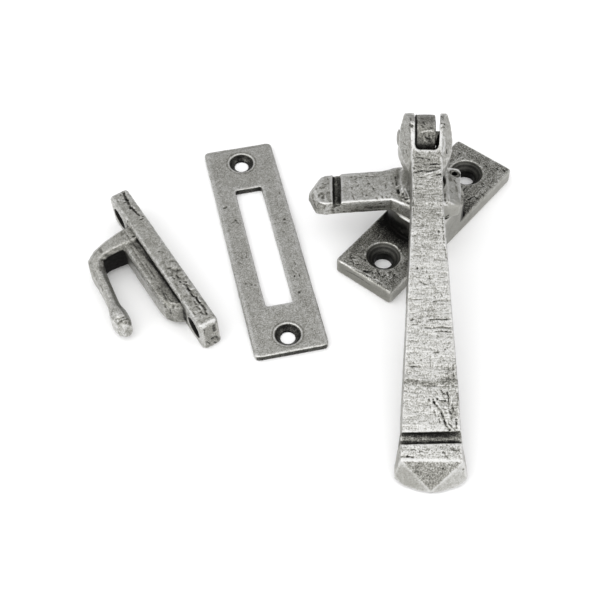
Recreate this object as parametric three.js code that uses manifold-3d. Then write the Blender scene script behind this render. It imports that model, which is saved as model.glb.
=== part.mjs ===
// Hinged casement fastener with its two keeps: a swinging tongue block on an
// oblong base plate, a forked lever handle, a hook plate and a slotted mortice
// plate. Millimetres, +Z up, origin on the underside of the base plate on the
// axis the tongue block swings about. The tongue points to -X, the lever to -Y.
import * as THREE from "three";
import { mergeVertices } from "three/addons/utils/BufferGeometryUtils.js";
import { ConvexGeometry } from "three/addons/geometries/ConvexGeometry.js";
import Module from "manifold-3d";

const wasm = await Module();
wasm.setup();

const rad = THREE.MathUtils.degToRad;

// --------------------------------------------------------- shared dimensions
const FULL_CIRCLE = 48; // facets
const SINK_CIRCLE = 36; // facets of countersinks and pin head seats
const SCREW_CIRCLE = 24; // facets of the lock screw and its bore
const CORNER_STEPS = 4; // facets of a plate corner
const FIT_GAP = 0.06; // radial gap round the post and the pivot pin
const OVERRUN = 1; // how far a cutter runs past the face it opens
const WASHER_R = 4.1; // outer radius of both washers

const POST_R = 3;
const PIN_R = 2;
const PIN_HEAD_R = 2.5;

// Lever pivot: placed in the fastener's frame, turned about +Z.
const PIVOT = [-1.1, 10.9, 23.5];
const PIVOT_YAW = -1.4; // degrees

// ----------------------------------------------------------------- materials
const FINISH = {
  base: { color: 0x85857e, roughness: 0.6 },
  post: { color: 0x8a8a86, roughness: 0.4 },
  block: { color: 0x8d8d85, roughness: 0.5 },
  waveWasher: { color: 0x6f6f6c, roughness: 0.35 },
  lockScrew: { color: 0x4c4c4a, roughness: 0.45 },
  handle: { color: 0x9c9c95, roughness: 0.45 },
  pin: { color: 0x8a8a84, roughness: 0.4 },
  mortice: { color: 0x8b8b84, roughness: 0.55 },
  hook: { color: 0x8f8f88, roughness: 0.5 },
};

const steel = (finish) => new THREE.MeshStandardMaterial({ ...finish, metalness: 0.9 });

// ------------------------------------------------------------ solid handling
// A closed three.js geometry as a solid.
function solid(geometry) {
  // Normals and uvs would keep coincident vertices from merging.
  geometry.deleteAttribute("normal");
  geometry.deleteAttribute("uv");
  const merged = mergeVertices(geometry, 1e-4);
  return new wasm.Manifold(
    new wasm.Mesh({
      numProp: 3,
      vertProperties: new Float32Array(merged.attributes.position.array),
      triVerts: new Uint32Array(merged.index.array),
    }),
  );
}

const add = (start, ...geometries) =>
  geometries.reduce((body, geometry) => body.add(solid(geometry)), start);

const cut = (start, ...geometries) =>
  geometries.reduce((body, geometry) => body.subtract(solid(geometry)), start);

// A solid as a named steel mesh.
function piece(name, body, finish) {
  const { vertProperties, triVerts } = body.getMesh();
  const geometry = new THREE.BufferGeometry();
  geometry.setAttribute(
    "position",
    new THREE.BufferAttribute(new Float32Array(vertProperties), 3),
  );
  geometry.setIndex(new THREE.BufferAttribute(new Uint32Array(triVerts), 1));
  geometry.computeVertexNormals();
  const mesh = new THREE.Mesh(geometry, steel(finish));
  mesh.name = name;
  return mesh;
}

// ------------------------------------------------------------ shape builders
function indexed(positions, index) {
  const geometry = new THREE.BufferGeometry();
  geometry.setAttribute("position", new THREE.Float32BufferAttribute(positions, 3));
  geometry.setIndex(index);
  return geometry;
}

// Upright prism over a plan outline of [x, y] points.
function prism(outline, z0, z1) {
  const shape = new THREE.Shape(outline.map(([x, y]) => new THREE.Vector2(x, y)));
  const geometry = new THREE.ExtrudeGeometry(shape, {
    depth: z1 - z0,
    bevelEnabled: false,
  });
  return geometry.translate(0, 0, z0);
}

// Prism along x over a side outline of [y, z] points.
const sidePrism = (outline, x0, x1) =>
  prism(outline, x0, x1).rotateX(Math.PI / 2).rotateZ(Math.PI / 2);

// Convex hull of [x, y, z] points.
const hull = (points) => new ConvexGeometry(points.map((p) => new THREE.Vector3(...p)));

// Loft through rings of equally many [x, y, z] points. Each ring is planar, all
// run the same way round, counter-clockwise as seen from the last ring.
function loft(rings) {
  const count = rings[0].length;
  const positions = rings.flat(2);
  const index = [];
  for (let r = 0; r + 1 < rings.length; r++)
    for (let i = 0; i < count; i++) {
      const here = r * count + i;
      const next = r * count + ((i + 1) % count);
      index.push(here, next, next + count, here, next + count, here + count);
    }

  // End caps fan out from the mean of their ring.
  const addCap = (ring, first, atStart) => {
    const centre = positions.length / 3;
    for (const axis of [0, 1, 2])
      positions.push(ring.reduce((sum, point) => sum + point[axis], 0) / count);
    for (let i = 0; i < count; i++) {
      const here = first + i;
      const next = first + ((i + 1) % count);
      index.push(centre, ...(atStart ? [next, here] : [here, next]));
    }
  };
  addCap(rings[0], 0, true);
  addCap(rings.at(-1), (rings.length - 1) * count, false);
  return indexed(positions, index);
}

// A plan outline of [x, y] points lifted to height z.
const ringAt = (outline, z) => outline.map(([x, y]) => [x, y, z]);

// Outline of a rectangle with rounded corners.
function roundedRect(width, length, radius) {
  const dx = width / 2 - radius;
  const dy = length / 2 - radius;
  const corners = [
    [dx, dy],
    [-dx, dy],
    [-dx, -dy],
    [dx, -dy],
  ];
  return corners.flatMap(([x, y], corner) =>
    Array.from({ length: CORNER_STEPS + 1 }, (_, i) => {
      const angle = rad(90 * corner + (90 * i) / CORNER_STEPS);
      return [x + radius * Math.cos(angle), y + radius * Math.sin(angle)];
    }),
  );
}

// Flat plate on z = 0 with a small chamfer round its top and bottom edges.
function plate({ width, length, cornerR, thickness, chamfer }) {
  const ring = (inset, z) =>
    ringAt(roundedRect(width - 2 * inset, length - 2 * inset, cornerR - inset), z);
  return loft([
    ring(chamfer, 0),
    ring(0, chamfer),
    ring(0, thickness - chamfer),
    ring(chamfer, thickness),
  ]);
}

// Body of revolution about z from an [r, z] profile that starts and ends on
// the axis, lowest point first.
function turned(profile, facets = FULL_CIRCLE) {
  const points = profile.map(([r, z]) => new THREE.Vector2(r, z));
  return new THREE.LatheGeometry(points, facets).rotateX(Math.PI / 2);
}

// Round bar along z.
const bar = (radius, z0, z1, facets) =>
  turned([[0, z0], [radius, z0], [radius, z1], [0, z1]], facets);

// Round bar along x.
const crossBar = (radius, x0, x1, facets) =>
  bar(radius, x0, x1, facets).rotateY(Math.PI / 2);

// Cutter on the z axis for a 45 degree countersunk hole that opens upwards at z1.
function sinkCutter({ holeR, sinkR }, z0, z1) {
  const flare = 0.5; // the cone carried on past the mouth
  return turned(
    [
      [0, z0 - OVERRUN],
      [holeR, z0 - OVERRUN],
      [holeR, z1 - (sinkR - holeR)],
      [sinkR, z1],
      [sinkR + flare, z1 + flare],
      [0, z1 + flare],
    ],
    SINK_CIRCLE,
  );
}

// ---------------------------------------------------------------- base plate
const BASE = { width: 18.8, length: 58.2, cornerR: 1, thickness: 4.8, chamfer: 0.45 };
const BASE_TURN = -39.04; // degrees about +Z
const BASE_HOLE = { holeR: 2.5, sinkR: 4.8 }; // clears a No. 8 wood screw
const BASE_HOLE_Y = 19.8; // each side of centre
const BOSS = { radius: 10.4, top: 12.4, chamfer: 0.65, y: -0.5 }; // under the block
const POST_FOOT = 3; // z of the blind foot of the post

function basePlate() {
  const bossFoot = BASE.thickness - 1; // sunk into the plate
  const round = turned([
    [0, bossFoot],
    [BOSS.radius, bossFoot],
    [BOSS.radius, BOSS.top - BOSS.chamfer],
    [BOSS.radius - BOSS.chamfer, BOSS.top],
    [0, BOSS.top],
  ]).translate(0, BOSS.y, 0);

  // The boss is cut off flush with the long sides of the plate.
  const trimTop = BOSS.top + 1;
  const trim = new THREE.BoxGeometry(BASE.width, 2 * (BOSS.radius + 2), trimTop);
  trim.translate(0, 0, trimTop / 2);
  const boss = solid(round).intersect(solid(trim));

  const postBore = bar(POST_R + FIT_GAP, POST_FOOT - 0.1, BOSS.top + OVERRUN);
  const screwHoles = [-1, 1].map((side) =>
    sinkCutter(BASE_HOLE, 0, BASE.thickness).translate(0, side * BASE_HOLE_Y, 0),
  );
  const body = cut(solid(plate(BASE)).add(boss), postBore, ...screwHoles);
  return piece("base_plate", body, FINISH.base);
}

// Post: blind foot in the boss, bearing in the hub, domed head.
function spindlePost() {
  const headR = 3.7;
  const profile = [
    [0, POST_FOOT],
    [POST_R, POST_FOOT],
    [POST_R, 17.2],
    [headR, 17.25],
    [headR, 17.5],
    [3.1, 17.95],
    [1.8, 18.15],
    [0, 18.2],
  ];
  return piece("spindle_post", solid(turned(profile)), FINISH.post);
}

// Flat washer under the head of the post.
function retainingWasher() {
  const bottom = 16.5;
  const top = 17.15;
  const body = cut(
    solid(bar(WASHER_R, bottom, top)),
    bar(POST_R + FIT_GAP, bottom - 0.5, top + 0.45),
  );
  return piece("retaining_washer", body, FINISH.post);
}

// -------------------------------------------------------------- tongue block
const BLOCK_BOTTOM = 12.8;
const BLOCK_BEVEL = 0.45; // round the underside of the tongue
const HUB = { bevel: 0.35, bottomScale: 0.975, shoulder: 16.6, top: 18.3 };
const TONGUE_TOP = 17.5;
const POST_BORE_R = 3.08;
const WELL = { radius: 4.3, floor: 15.4 }; // counterbore in the hub
const KNUCKLE = { radius: 6.35, width: 4.8 };

// Hub outlines, [x, y], point for point.
const HUB_LOW = [
  [7.6, -7.9], [8.3, -6.6], [8.5, -2], [8.6, 1.4], [8.95, 4.7], [8.3, 5.8],
  [6.0, 6.2], [3.0, 7.0], [-3.0, 7.6], [-7.8, 6.6], [-9.4, 5.0], [-9.9, 0],
  [-9.4, -5.0], [-8.3, -7.5], [-5.6, -9.0], [-2.5, -9.3], [2, -9.2], [5.4, -8.7],
];
const HUB_HIGH = [
  [4.5, -7.6], [4.8, -6.3], [4.9, -2], [4.9, 1], [4.9, 2.4], [4.4, 3.0],
  [3.4, 3.4], [1.8, 3.8], [-2.6, 4.2], [-6.4, 4.4], [-7.6, 3.6], [-7.9, 0],
  [-7.6, -3.6], [-6.9, -6.2], [-4.9, -7.7], [-2.2, -8.6], [1.6, -8.7], [3.4, -8.3],
];

// Tongue outline, [x, y]: out along the +y side, back along the -y side.
const TONGUE_PLAN = [
  [0, 6.2],
  [-7.8, 6.6], [-9.1, 6.0], [-10.7, 5.2], [-13.1, 4.5],
  [-18.8, 4.0], [-24.6, 3.35], [-28.6, 2.75],
  [-28.9, -8.0], [-23.4, -7.35], [-17.8, -6.85], [-12.4, -6.25],
  [-10.6, -6.2], [-8.1, -7.6], [-5.6, -8.2],
  [0, -8.2],
];

// Corners of the pointed, bevelled end of the tongue, [x, y, z].
const POINT_EDGE = BLOCK_BOTTOM + 0.4; // where the lower bevel starts
const POINT_BROW = TONGUE_TOP - 1.6; // foot of the upper bevel
const TONGUE_POINT = [
  [-28.0, 2.5, TONGUE_TOP],
  [-28.0, 2.85, POINT_EDGE],
  [-28.0, 2.4, BLOCK_BOTTOM],
  [-28.0, -7.6, TONGUE_TOP],
  [-28.0, -8.0, POINT_EDGE],
  [-28.0, -7.5, BLOCK_BOTTOM],
  [-29.4, 1.9, TONGUE_TOP],
  [-30.0, -7.2, TONGUE_TOP],
  [-31.4, -2.6, TONGUE_TOP],
  [-30.3, 2.2, POINT_BROW],
  [-30.9, -7.6, POINT_BROW],
  [-33.0, -2.7, POINT_BROW - 0.2],
  [-30.3, 2.1, POINT_EDGE],
  [-30.9, -7.5, POINT_EDGE],
  [-33.0, -2.7, POINT_EDGE + 0.2],
  [-32.4, -2.7, BLOCK_BOTTOM],
];

// Root on the +y side of the hub, [x, y].
const ROOT_PLAN = [
  [4.2, 4], [4.0, 9], [2.6, 14.6], [0.6, 15.6],
  [-3.0, 15.6], [-5.0, 14.4], [-6.6, 9], [-7.6, 4],
];

// Web under the eye of the knuckle, [y, z] from the pivot.
const WEB_SIDE = [
  [-5.2, -10.4], [4.4, -10.4], [5.4, -6.0], [6.3, -0.5],
  [0, 2.5], [-6.2, -0.5], [-5.5, -3.3], [-5.2, -5.2],
];

// Lock screw, M3 with a 1.5 mm socket
const SCREW = { x: 7.15, y: 3.75, radius: 1.45, boreR: 1.53, bottom: 12.9, length: 4.2 };

function hub() {
  const bottom = HUB_LOW.map(([x, y]) => [x * HUB.bottomScale, y * HUB.bottomScale]);
  return loft([
    ringAt(bottom, BLOCK_BOTTOM),
    ringAt(HUB_LOW, BLOCK_BOTTOM + HUB.bevel),
    ringAt(HUB_LOW, HUB.shoulder),
    ringAt(HUB_HIGH, HUB.top),
  ]);
}

function tongue() {
  const endX = -28; // outline points past this are drawn in lengthways too
  const inset = TONGUE_PLAN.map(([x, y]) => [
    x < endX ? x + 0.3 : x,
    y > 0 ? y - BLOCK_BEVEL : y + BLOCK_BEVEL,
  ]);
  return loft([
    ringAt(inset, BLOCK_BOTTOM),
    ringAt(TONGUE_PLAN, BLOCK_BOTTOM + BLOCK_BEVEL),
    ringAt(TONGUE_PLAN, TONGUE_TOP - 0.3),
    ringAt(inset, TONGUE_TOP),
  ]);
}

// Cutter for the flared groove across the top of the tongue.
function tongueGroove() {
  const halfWidth = 2.3 / 2;
  const flare = 0.25;
  const depth = 0.9;
  const above = 0.6;
  const section = [
    [-halfWidth - flare, above],
    [-halfWidth + flare, -depth],
    [halfWidth - flare, -depth],
    [halfWidth + flare, above],
  ];
  return prism(section, 0, 16).rotateX(Math.PI / 2).translate(-25.3, 6, TONGUE_TOP);
}

function tongueBlock() {
  const pivotFrame = new THREE.Matrix4()
    .makeTranslation(...PIVOT)
    .multiply(new THREE.Matrix4().makeRotationZ(rad(PIVOT_YAW)));
  const atPivot = (geometry) => geometry.applyMatrix4(pivotFrame);
  const halfKnuckle = KNUCKLE.width / 2;

  let body = add(solid(hub()), tongue(), hull(TONGUE_POINT));
  body = cut(body, tongueGroove());
  body = add(body, prism(ROOT_PLAN, BLOCK_BOTTOM + 0.2, 16.4));

  // Room for the ears to swing, on both sides of the knuckle.
  const reliefR = 8.3;
  const reliefFacets = 64;
  const reliefs = [
    [halfKnuckle, 8.0],
    [-9.5, -halfKnuckle],
  ].map(([x0, x1]) => atPivot(crossBar(reliefR, x0, x1, reliefFacets)));
  body = cut(body, ...reliefs);

  // Knuckle: round eye on a web.
  body = add(
    body,
    atPivot(sidePrism(WEB_SIDE, -halfKnuckle, halfKnuckle)),
    atPivot(crossBar(KNUCKLE.radius, -halfKnuckle, halfKnuckle)),
  );

  // Pin bore, post bore, washer well, lock screw bore.
  const below = BLOCK_BOTTOM - OVERRUN;
  const above = HUB.top + 2;
  body = cut(
    body,
    atPivot(crossBar(PIN_R + FIT_GAP, -KNUCKLE.width, KNUCKLE.width)),
    bar(POST_BORE_R, below, WELL.floor + OVERRUN),
    bar(WELL.radius, WELL.floor, above),
    bar(SCREW.boreR, below, above, SCREW_CIRCLE).translate(SCREW.x, SCREW.y, 0),
  );
  return piece("tongue_block", body, FINISH.block);
}

// Washer in the well, with three waves round it.
function waveWasher() {
  const steps = 48;
  const waves = 3;
  const amplitude = 0.2;
  const innerR = 3.3;
  const midZ = 15.98;
  const halfThickness = 0.2;
  const positions = [];
  const index = [];
  for (let i = 0; i < steps; i++) {
    const angle = (2 * Math.PI * i) / steps;
    const z = midZ + amplitude * Math.cos(waves * angle);
    for (const [radius, offset] of [
      [innerR, -halfThickness],
      [WASHER_R, -halfThickness],
      [WASHER_R, halfThickness],
      [innerR, halfThickness],
    ])
      positions.push(radius * Math.cos(angle), radius * Math.sin(angle), z + offset);

    const section = i * 4;
    const following = ((i + 1) % steps) * 4;
    for (let k = 0; k < 4; k++) {
      const next = (k + 1) % 4;
      index.push(section + k, following + k, section + next);
      index.push(section + next, following + k, following + next);
    }
  }
  return piece("wave_washer", solid(indexed(positions, index)), FINISH.waveWasher);
}

function lockScrew() {
  const { radius, bottom, length } = SCREW;
  const top = bottom + length;
  const topChamfer = 0.2;
  const socketDepth = 1.6;
  const socketCornerR = 0.866;
  const hexagon = Array.from({ length: 6 }, (_, i) => {
    const angle = rad(60 * i);
    return [socketCornerR * Math.cos(angle), socketCornerR * Math.sin(angle)];
  });
  const profile = [
    [0, bottom],
    [0.7, bottom],
    [radius, bottom + 0.75],
    [radius, top - topChamfer],
    [radius - topChamfer, top],
    [0, top],
  ];
  const body = cut(
    solid(turned(profile, SCREW_CIRCLE)),
    prism(hexagon, top - socketDepth, top + OVERRUN),
  );
  const mesh = piece("lock_screw", body, FINISH.lockScrew);
  mesh.position.set(SCREW.x, SCREW.y, 0);
  return mesh;
}

// -------------------------------------------------------------------- handle
// Lever frame: x along the pivot pin, -y towards the tip, z out of the face.
const DROOP = 13.6; // degrees below the plane of the plate
const EAR_R = 6.8;
const FORK_HALF_GAP = 6.2 / 2;
const FORK_STRAIGHT_END = -5.6; // y where the slot's corners begin
const FACE_Z = 5.6; // face of the lever beyond the ears
const CUTTER_REACH = 12; // past the widest part of the handle

// Each station: y, half width of the face, greatest half width, lower and upper
// z of the band at that width, half width of the underside, face z, underside z.
const LEVER_STATIONS = [
  [7.2, 3.6, 5.25, -2.6, 4.2, 4.4, 6.9, -6.9],
  [4.5, 4.0, 6.15, -2.8, 4.4, 4.6, 6.9, -6.9],
  [1.5, 4.3, 6.95, -2.6, 3.8, 4.8, 6.8, -6.9],
  [-2.0, 4.35, 7.35, -2.2, 2.8, 4.9, 6.5, -6.6],
  [-5.0, 4.15, 7.2, -1.6, 2.6, 4.8, 6.0, -5.0],
  [-7.4, 4.05, 6.65, -1.0, 2.6, 4.6, 5.7, -3.1],
  [-10.0, 4.05, 5.65, -0.4, 2.8, 4.35, FACE_Z, -2.1],
  [-13.0, 4.07, 4.55, 0.2, 3.0, 4.1, FACE_Z, -1.3],
  [-17.0, 4.07, 4.25, 0.6, 3.2, 4.0, FACE_Z, -0.5],
  [-22.0, 4.1, 4.25, 0.8, 3.4, 4.0, FACE_Z, 0.15],
  [-36.7, 4.85, 5.0, 0.8, 3.2, 4.75, FACE_Z, 0.2],
  [-50.8, 5.6, 5.75, 0.9, 3.0, 5.5, FACE_Z, 0.3],
  [-69.8, 6.6, 6.75, 1.0, 2.8, 6.5, FACE_Z, 0.4],
  [-85.4, 7.3, 7.5, 1.0, 2.6, 7.2, FACE_Z, 0.4],
  [-89.4, 7.45, 8.05, 1.0, 2.5, 7.7, FACE_Z, 0.4],
  [-93.4, 7.6, 8.7, 1.0, 2.4, 8.3, FACE_Z, 0.4],
];

// Blunt point of the tip, [x, y, z]: the +x half, then the points on the axis.
const TIP_HALF = [
  [8.95, -96.1, 1.5],
  [8.8, -96.5, 0.4],
  [6.6, -98.2, 0.4],
  [3.2, -99.4, 0.4],
];
const TIP_AXIS = [
  [0, -99.75, 1.5],
  [0, -99.85, 0.45],
];

// Section of the shallow groove across the face near the tip, [y, z].
const TIP_GROOVE = [
  [-1.7, 0.5], [-1.25, -0.75], [-0.6, -1.05], [0.8, -1.05], [1.35, -0.6], [1.7, 0.5],
];

// Section of the lever: the +x half from the underside up, then the -x half down.
function leverSection([y, faceHalf, maxHalf, bandLow, bandHigh, underHalf, faceZ, underZ]) {
  const half = [
    [underHalf, y, underZ],
    [maxHalf, y, bandLow],
    [maxHalf - 0.08, y, bandHigh],
    [faceHalf, y, faceZ],
  ];
  const mirrored = half.map(([x, , z]) => [-x, y, z]).reverse();
  return [...half, ...mirrored];
}

// Hull of the tip, overlapping the end of the loft.
function leverTip() {
  const [endY, ...endSizes] = LEVER_STATIONS.at(-1);
  const start = leverSection([endY + 0.4, ...endSizes]).slice(0, 4);
  const end = leverSection(LEVER_STATIONS.at(-1));
  const half = [...start, end[3], ...TIP_HALF];
  return hull([
    ...half.flatMap(([x, y, z]) => [
      [x, y, z],
      [-x, y, z],
    ]),
    ...TIP_AXIS,
  ]);
}

// Side view the lever is trimmed to: round ears, then clear of the lever.
function earTrim() {
  const steps = 36;
  const side = Array.from({ length: steps + 1 }, (_, i) => {
    const angle = rad(-90 + (180 * i) / steps);
    return [EAR_R * Math.cos(angle), EAR_R * Math.sin(angle)];
  });
  side.push([-110, 8], [-110, -8], [-3, -8]);
  return sidePrism(side, -CUTTER_REACH, CUTTER_REACH);
}

// Cutter for the fork slot, with rounded corners at its closed end.
function forkSlot() {
  const half = [
    [FORK_HALF_GAP - 1.1, -6.85],
    [FORK_HALF_GAP - 0.35, -6.5],
    [FORK_HALF_GAP, FORK_STRAIGHT_END],
    [FORK_HALF_GAP, 12],
  ];
  const mirrored = half.map(([x, y]) => [-x, y]).reverse();
  return prism([...mirrored, ...half], -CUTTER_REACH, CUTTER_REACH);
}

// Cutter for the cast draft on the +x cheek of the slot, opening to +y and down.
function forkDraft() {
  const slopeY = 0.062;
  const slopeZ = 0.078;
  const neutralZ = 5.7; // where the draft meets the slot at its closed end
  const cheekX = (y, z) =>
    FORK_HALF_GAP + slopeY * (y - FORK_STRAIGHT_END) + slopeZ * (neutralZ - z);
  const corners = [];
  for (const y of [FORK_STRAIGHT_END, 10])
    for (const z of [-9, 9])
      for (const x of [0, Math.max(FORK_HALF_GAP - 0.1, cheekX(y, z))])
        corners.push([x, y, z]);
  return hull(corners);
}

function handle() {
  const headSeatR = PIN_HEAD_R + 0.25;
  let body = add(solid(loft(LEVER_STATIONS.map(leverSection))), leverTip());
  body = body.intersect(solid(earTrim()));
  body = cut(
    body,
    forkSlot(),
    forkDraft(),
    // Pin bore and the seats of its heads
    crossBar(PIN_R + FIT_GAP, -CUTTER_REACH, CUTTER_REACH),
    crossBar(headSeatR, 6.85, CUTTER_REACH, SINK_CIRCLE),
    crossBar(headSeatR, -CUTTER_REACH, -7.0, SINK_CIRCLE),
    sidePrism(TIP_GROOVE, -CUTTER_REACH, CUTTER_REACH)
      .rotateZ(rad(2.6))
      .translate(0, -87.4, FACE_Z),
  );
  return piece("handle", body, FINISH.handle);
}

// Pivot pin with a low head at each end.
function pivotPin() {
  const headTipR = 1.6;
  const profile = [
    [0, -7.7],
    [headTipR, -7.7],
    [PIN_HEAD_R, -7.35],
    [PIN_HEAD_R, -7.05],
    [PIN_R, -7.05],
    [PIN_R, 6.9],
    [PIN_HEAD_R, 6.9],
    [PIN_HEAD_R, 7.1],
    [headTipR, 7.3],
    [0, 7.3],
  ];
  return piece("pivot_pin", solid(turned(profile).rotateY(Math.PI / 2)), FINISH.pin);
}

// ------------------------------------------------------------- mortice plate
// Local origin at the centre of the slot.
const MORTICE = { width: 20, length: 75, cornerR: 1.4, thickness: 2, chamfer: 0.3 };
const MORTICE_SHIFT = 0.37; // outline past the centre of the slot
const MORTICE_AT = [-45.44, -9.0, 0];
const MORTICE_TURN = 12.74; // degrees about +Z
const MORTICE_SLOT = { width: 7.6, length: 42.5, cornerR: 0.5 };
const MORTICE_HOLE = { holeR: 2, sinkR: 3.6 };
const MORTICE_PITCH = 63;

function morticePlate() {
  const { width, length, cornerR } = MORTICE_SLOT;
  const { thickness } = MORTICE;
  const slot = prism(roundedRect(width, length, cornerR), -OVERRUN, thickness + OVERRUN);
  const holes = [-1, 1].map((side) =>
    sinkCutter(MORTICE_HOLE, 0, thickness).translate(0, (side * MORTICE_PITCH) / 2, 0),
  );
  const blank = solid(plate(MORTICE).translate(0, MORTICE_SHIFT, 0));
  return piece("mortice_plate", cut(blank, slot, ...holes), FINISH.mortice);
}

// ---------------------------------------------------------------- hook plate
// Local x along the plate, y out of its front, z across its width.
const HOOK = { startX: -0.4, length: 53, thickness: 5.45, width: 10.5 };
const HOOK_MID = HOOK.width / 2;
const HOOK_AT = [-60.6, -43.41, 0];
const HOOK_TURN = 121; // degrees about +Z
const HOOK_LEAN = -3.74; // degrees about local x
const HOOK_HOLE = { holeR: 1.75, sinkR: 3.2 };
const HOOK_HOLES_X = [4.3, 47.9];

// Pad between plate and hook, [x, y].
const PAD_PLAN = [
  [8.9, -0.5], [40.6, -0.5], [39.2, 4.0], [35.5, 4.5],
  [28.0, 4.5], [16.5, 4.5], [12.8, 4.1], [10.6, 2.5],
];

// Centre line of the hook arm: x, y, heading in degrees (0 along +y, 90 along
// -x), thickness in the x-y plane, half width along z.
const ARM_STATIONS = [
  [38.0, -0.6, 0, 7.0, 4.6],
  [38.0, 3.6, 3, 6.4, 4.55],
  [37.8, 7.4, 8, 5.4, 4.3],
  [37.2, 10.6, 25, 4.8, 4.0],
  [36.0, 12.7, 52, 4.4, 3.85],
  [33.6, 13.5, 78, 3.8, 3.6],
  [30.0, 13.7, 84, 3.3, 3.4],
  [26.0, 14.1, 85, 3.1, 3.25],
  [22.8, 14.5, 84, 3.0, 3.2],
  [20.6, 14.9, 84, 3.3, 3.35],
  [18.6, 15.2, 86, 3.9, 3.5],
  [16.2, 15.3, 90, 4.1, 3.5],
  [14.3, 15.2, 92, 3.6, 3.2],
  [13.1, 15.1, 92, 2.2, 2.2],
];

// Plate of the hook, chamfered along its long edges and at its ends.
function hookBlank() {
  const edge = 0.5; // chamfer of the long edges
  const endInset = 0.55;
  const endLength = 0.7;
  const { startX, length, thickness, width } = HOOK;
  const endX = startX + length;
  const ring = (x, inset) => {
    const front = -inset;
    const back = -thickness + inset;
    const low = inset;
    const high = width - inset;
    return [
      [x, front - edge, low],
      [x, front, low + edge],
      [x, front, high - edge],
      [x, front - edge, high],
      [x, back + edge, high],
      [x, back, high - edge],
      [x, back, low + edge],
      [x, back + edge, low],
    ];
  };
  return loft([
    ring(startX, endInset),
    ring(startX + endLength, 0),
    ring(endX - endLength, 0),
    ring(endX, endInset),
  ]);
}

function hookPad() {
  const flatHalf = 3.1; // half width of the full outline
  const fullHalf = 3.9; // half width over the bevels
  const slope = 0.3; // the low-z side reaches this much further to -x
  const lowEndX = 13; // points below this belong to the -x end
  const highEndX = 39; // points above this belong to the +x end
  const insetX = (x) => {
    if (x < lowEndX) return x + 0.8;
    return x > highEndX ? x - 0.3 : x;
  };
  const inset = PAD_PLAN.map(([x, y]) => [insetX(x), y > 0 ? y - 0.7 : y]);
  const insetLow = inset.map(([x, y]) => [x - slope, y]);
  const outlineLow = PAD_PLAN.map(([x, y]) => [x < lowEndX ? x - slope : x, y]);
  return loft([
    ringAt(insetLow, HOOK_MID - fullHalf),
    ringAt(outlineLow, HOOK_MID - flatHalf),
    ringAt(PAD_PLAN, HOOK_MID + flatHalf),
    ringAt(inset, HOOK_MID + fullHalf),
  ]);
}

// Chamfered section of the arm, square to its heading.
function armSection([x, y, heading, thickness, halfWidth]) {
  const angle = rad(heading);
  const half = thickness / 2;
  const inner = half - Math.min(0.34 * thickness, 1.3);
  const shoulder = halfWidth - Math.min(1.2, 0.4 * halfWidth);
  return [
    [-half, shoulder],
    [-inner, halfWidth],
    [inner, halfWidth],
    [half, shoulder],
    [half, -shoulder],
    [inner, -halfWidth],
    [-inner, -halfWidth],
    [-half, -shoulder],
  ].map(([across, z]) => [
    x + Math.cos(angle) * across,
    y + Math.sin(angle) * across,
    HOOK_MID + z,
  ]);
}

function hookPlate() {
  const body = add(solid(hookBlank()), hookPad(), loft(ARM_STATIONS.map(armSection)));
  // Countersunk holes through the plate, opening at the front.
  const holes = HOOK_HOLES_X.map((x) =>
    sinkCutter(HOOK_HOLE, -HOOK.thickness, 0)
      .rotateX(-Math.PI / 2)
      .translate(x, 0, HOOK_MID),
  );
  return piece("hook_plate", cut(body, ...holes), FINISH.hook);
}

// ------------------------------------------------------------------ assembly
const groupOf = (...children) => new THREE.Group().add(...children);

const baseGroup = groupOf(basePlate(), spindlePost(), retainingWasher());
baseGroup.rotation.z = rad(BASE_TURN);

const blockGroup = groupOf(tongueBlock(), waveWasher(), lockScrew());

const lever = groupOf(handle(), pivotPin());
lever.rotation.x = rad(DROOP);
const leverYaw = groupOf(lever);
leverYaw.position.set(...PIVOT);
leverYaw.rotation.z = rad(PIVOT_YAW);

const morticeGroup = groupOf(morticePlate());
morticeGroup.position.set(...MORTICE_AT);
morticeGroup.rotation.z = rad(MORTICE_TURN);

const hookLean = groupOf(hookPlate());
hookLean.rotation.x = rad(HOOK_LEAN);
const hookGroup = groupOf(hookLean);
hookGroup.position.set(...HOOK_AT);
hookGroup.rotation.z = rad(HOOK_TURN);

const fastener = groupOf(baseGroup, blockGroup, leverYaw);

export default groupOf(fastener, morticeGroup, hookGroup);
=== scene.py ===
# A lever handle in a worn pewter finish, hinged by a pin to a tongue block that turns on
# a post in a base plate, with a slotted mortice plate and a hook plate beside it.
# Z is up and the post stands at the origin. The handle runs towards -y, the camera's
# side; the tongue points to -x, where the two loose plates lie.
# Shapes are worked in millimetres; the meshes are scaled to metres at the end.
import math
from itertools import product

import bmesh
import bpy
import numpy as np
from mathutils import Matrix, Vector


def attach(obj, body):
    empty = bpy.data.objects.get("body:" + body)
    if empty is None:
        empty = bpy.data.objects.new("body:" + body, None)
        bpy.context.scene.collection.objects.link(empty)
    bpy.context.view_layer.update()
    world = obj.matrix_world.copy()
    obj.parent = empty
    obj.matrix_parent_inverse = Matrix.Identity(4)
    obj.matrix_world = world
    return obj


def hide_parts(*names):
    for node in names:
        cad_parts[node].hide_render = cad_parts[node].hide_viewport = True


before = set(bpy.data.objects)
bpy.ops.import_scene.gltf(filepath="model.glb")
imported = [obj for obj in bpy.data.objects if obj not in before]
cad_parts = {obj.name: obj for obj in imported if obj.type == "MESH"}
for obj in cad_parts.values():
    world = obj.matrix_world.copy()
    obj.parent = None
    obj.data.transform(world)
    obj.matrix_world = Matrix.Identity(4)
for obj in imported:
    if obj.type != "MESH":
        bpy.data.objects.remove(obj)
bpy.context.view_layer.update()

VOXEL = 0.2  # mesh spacing of the cast pieces, mm
MM = 0.001  # one millimetre in metres


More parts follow.
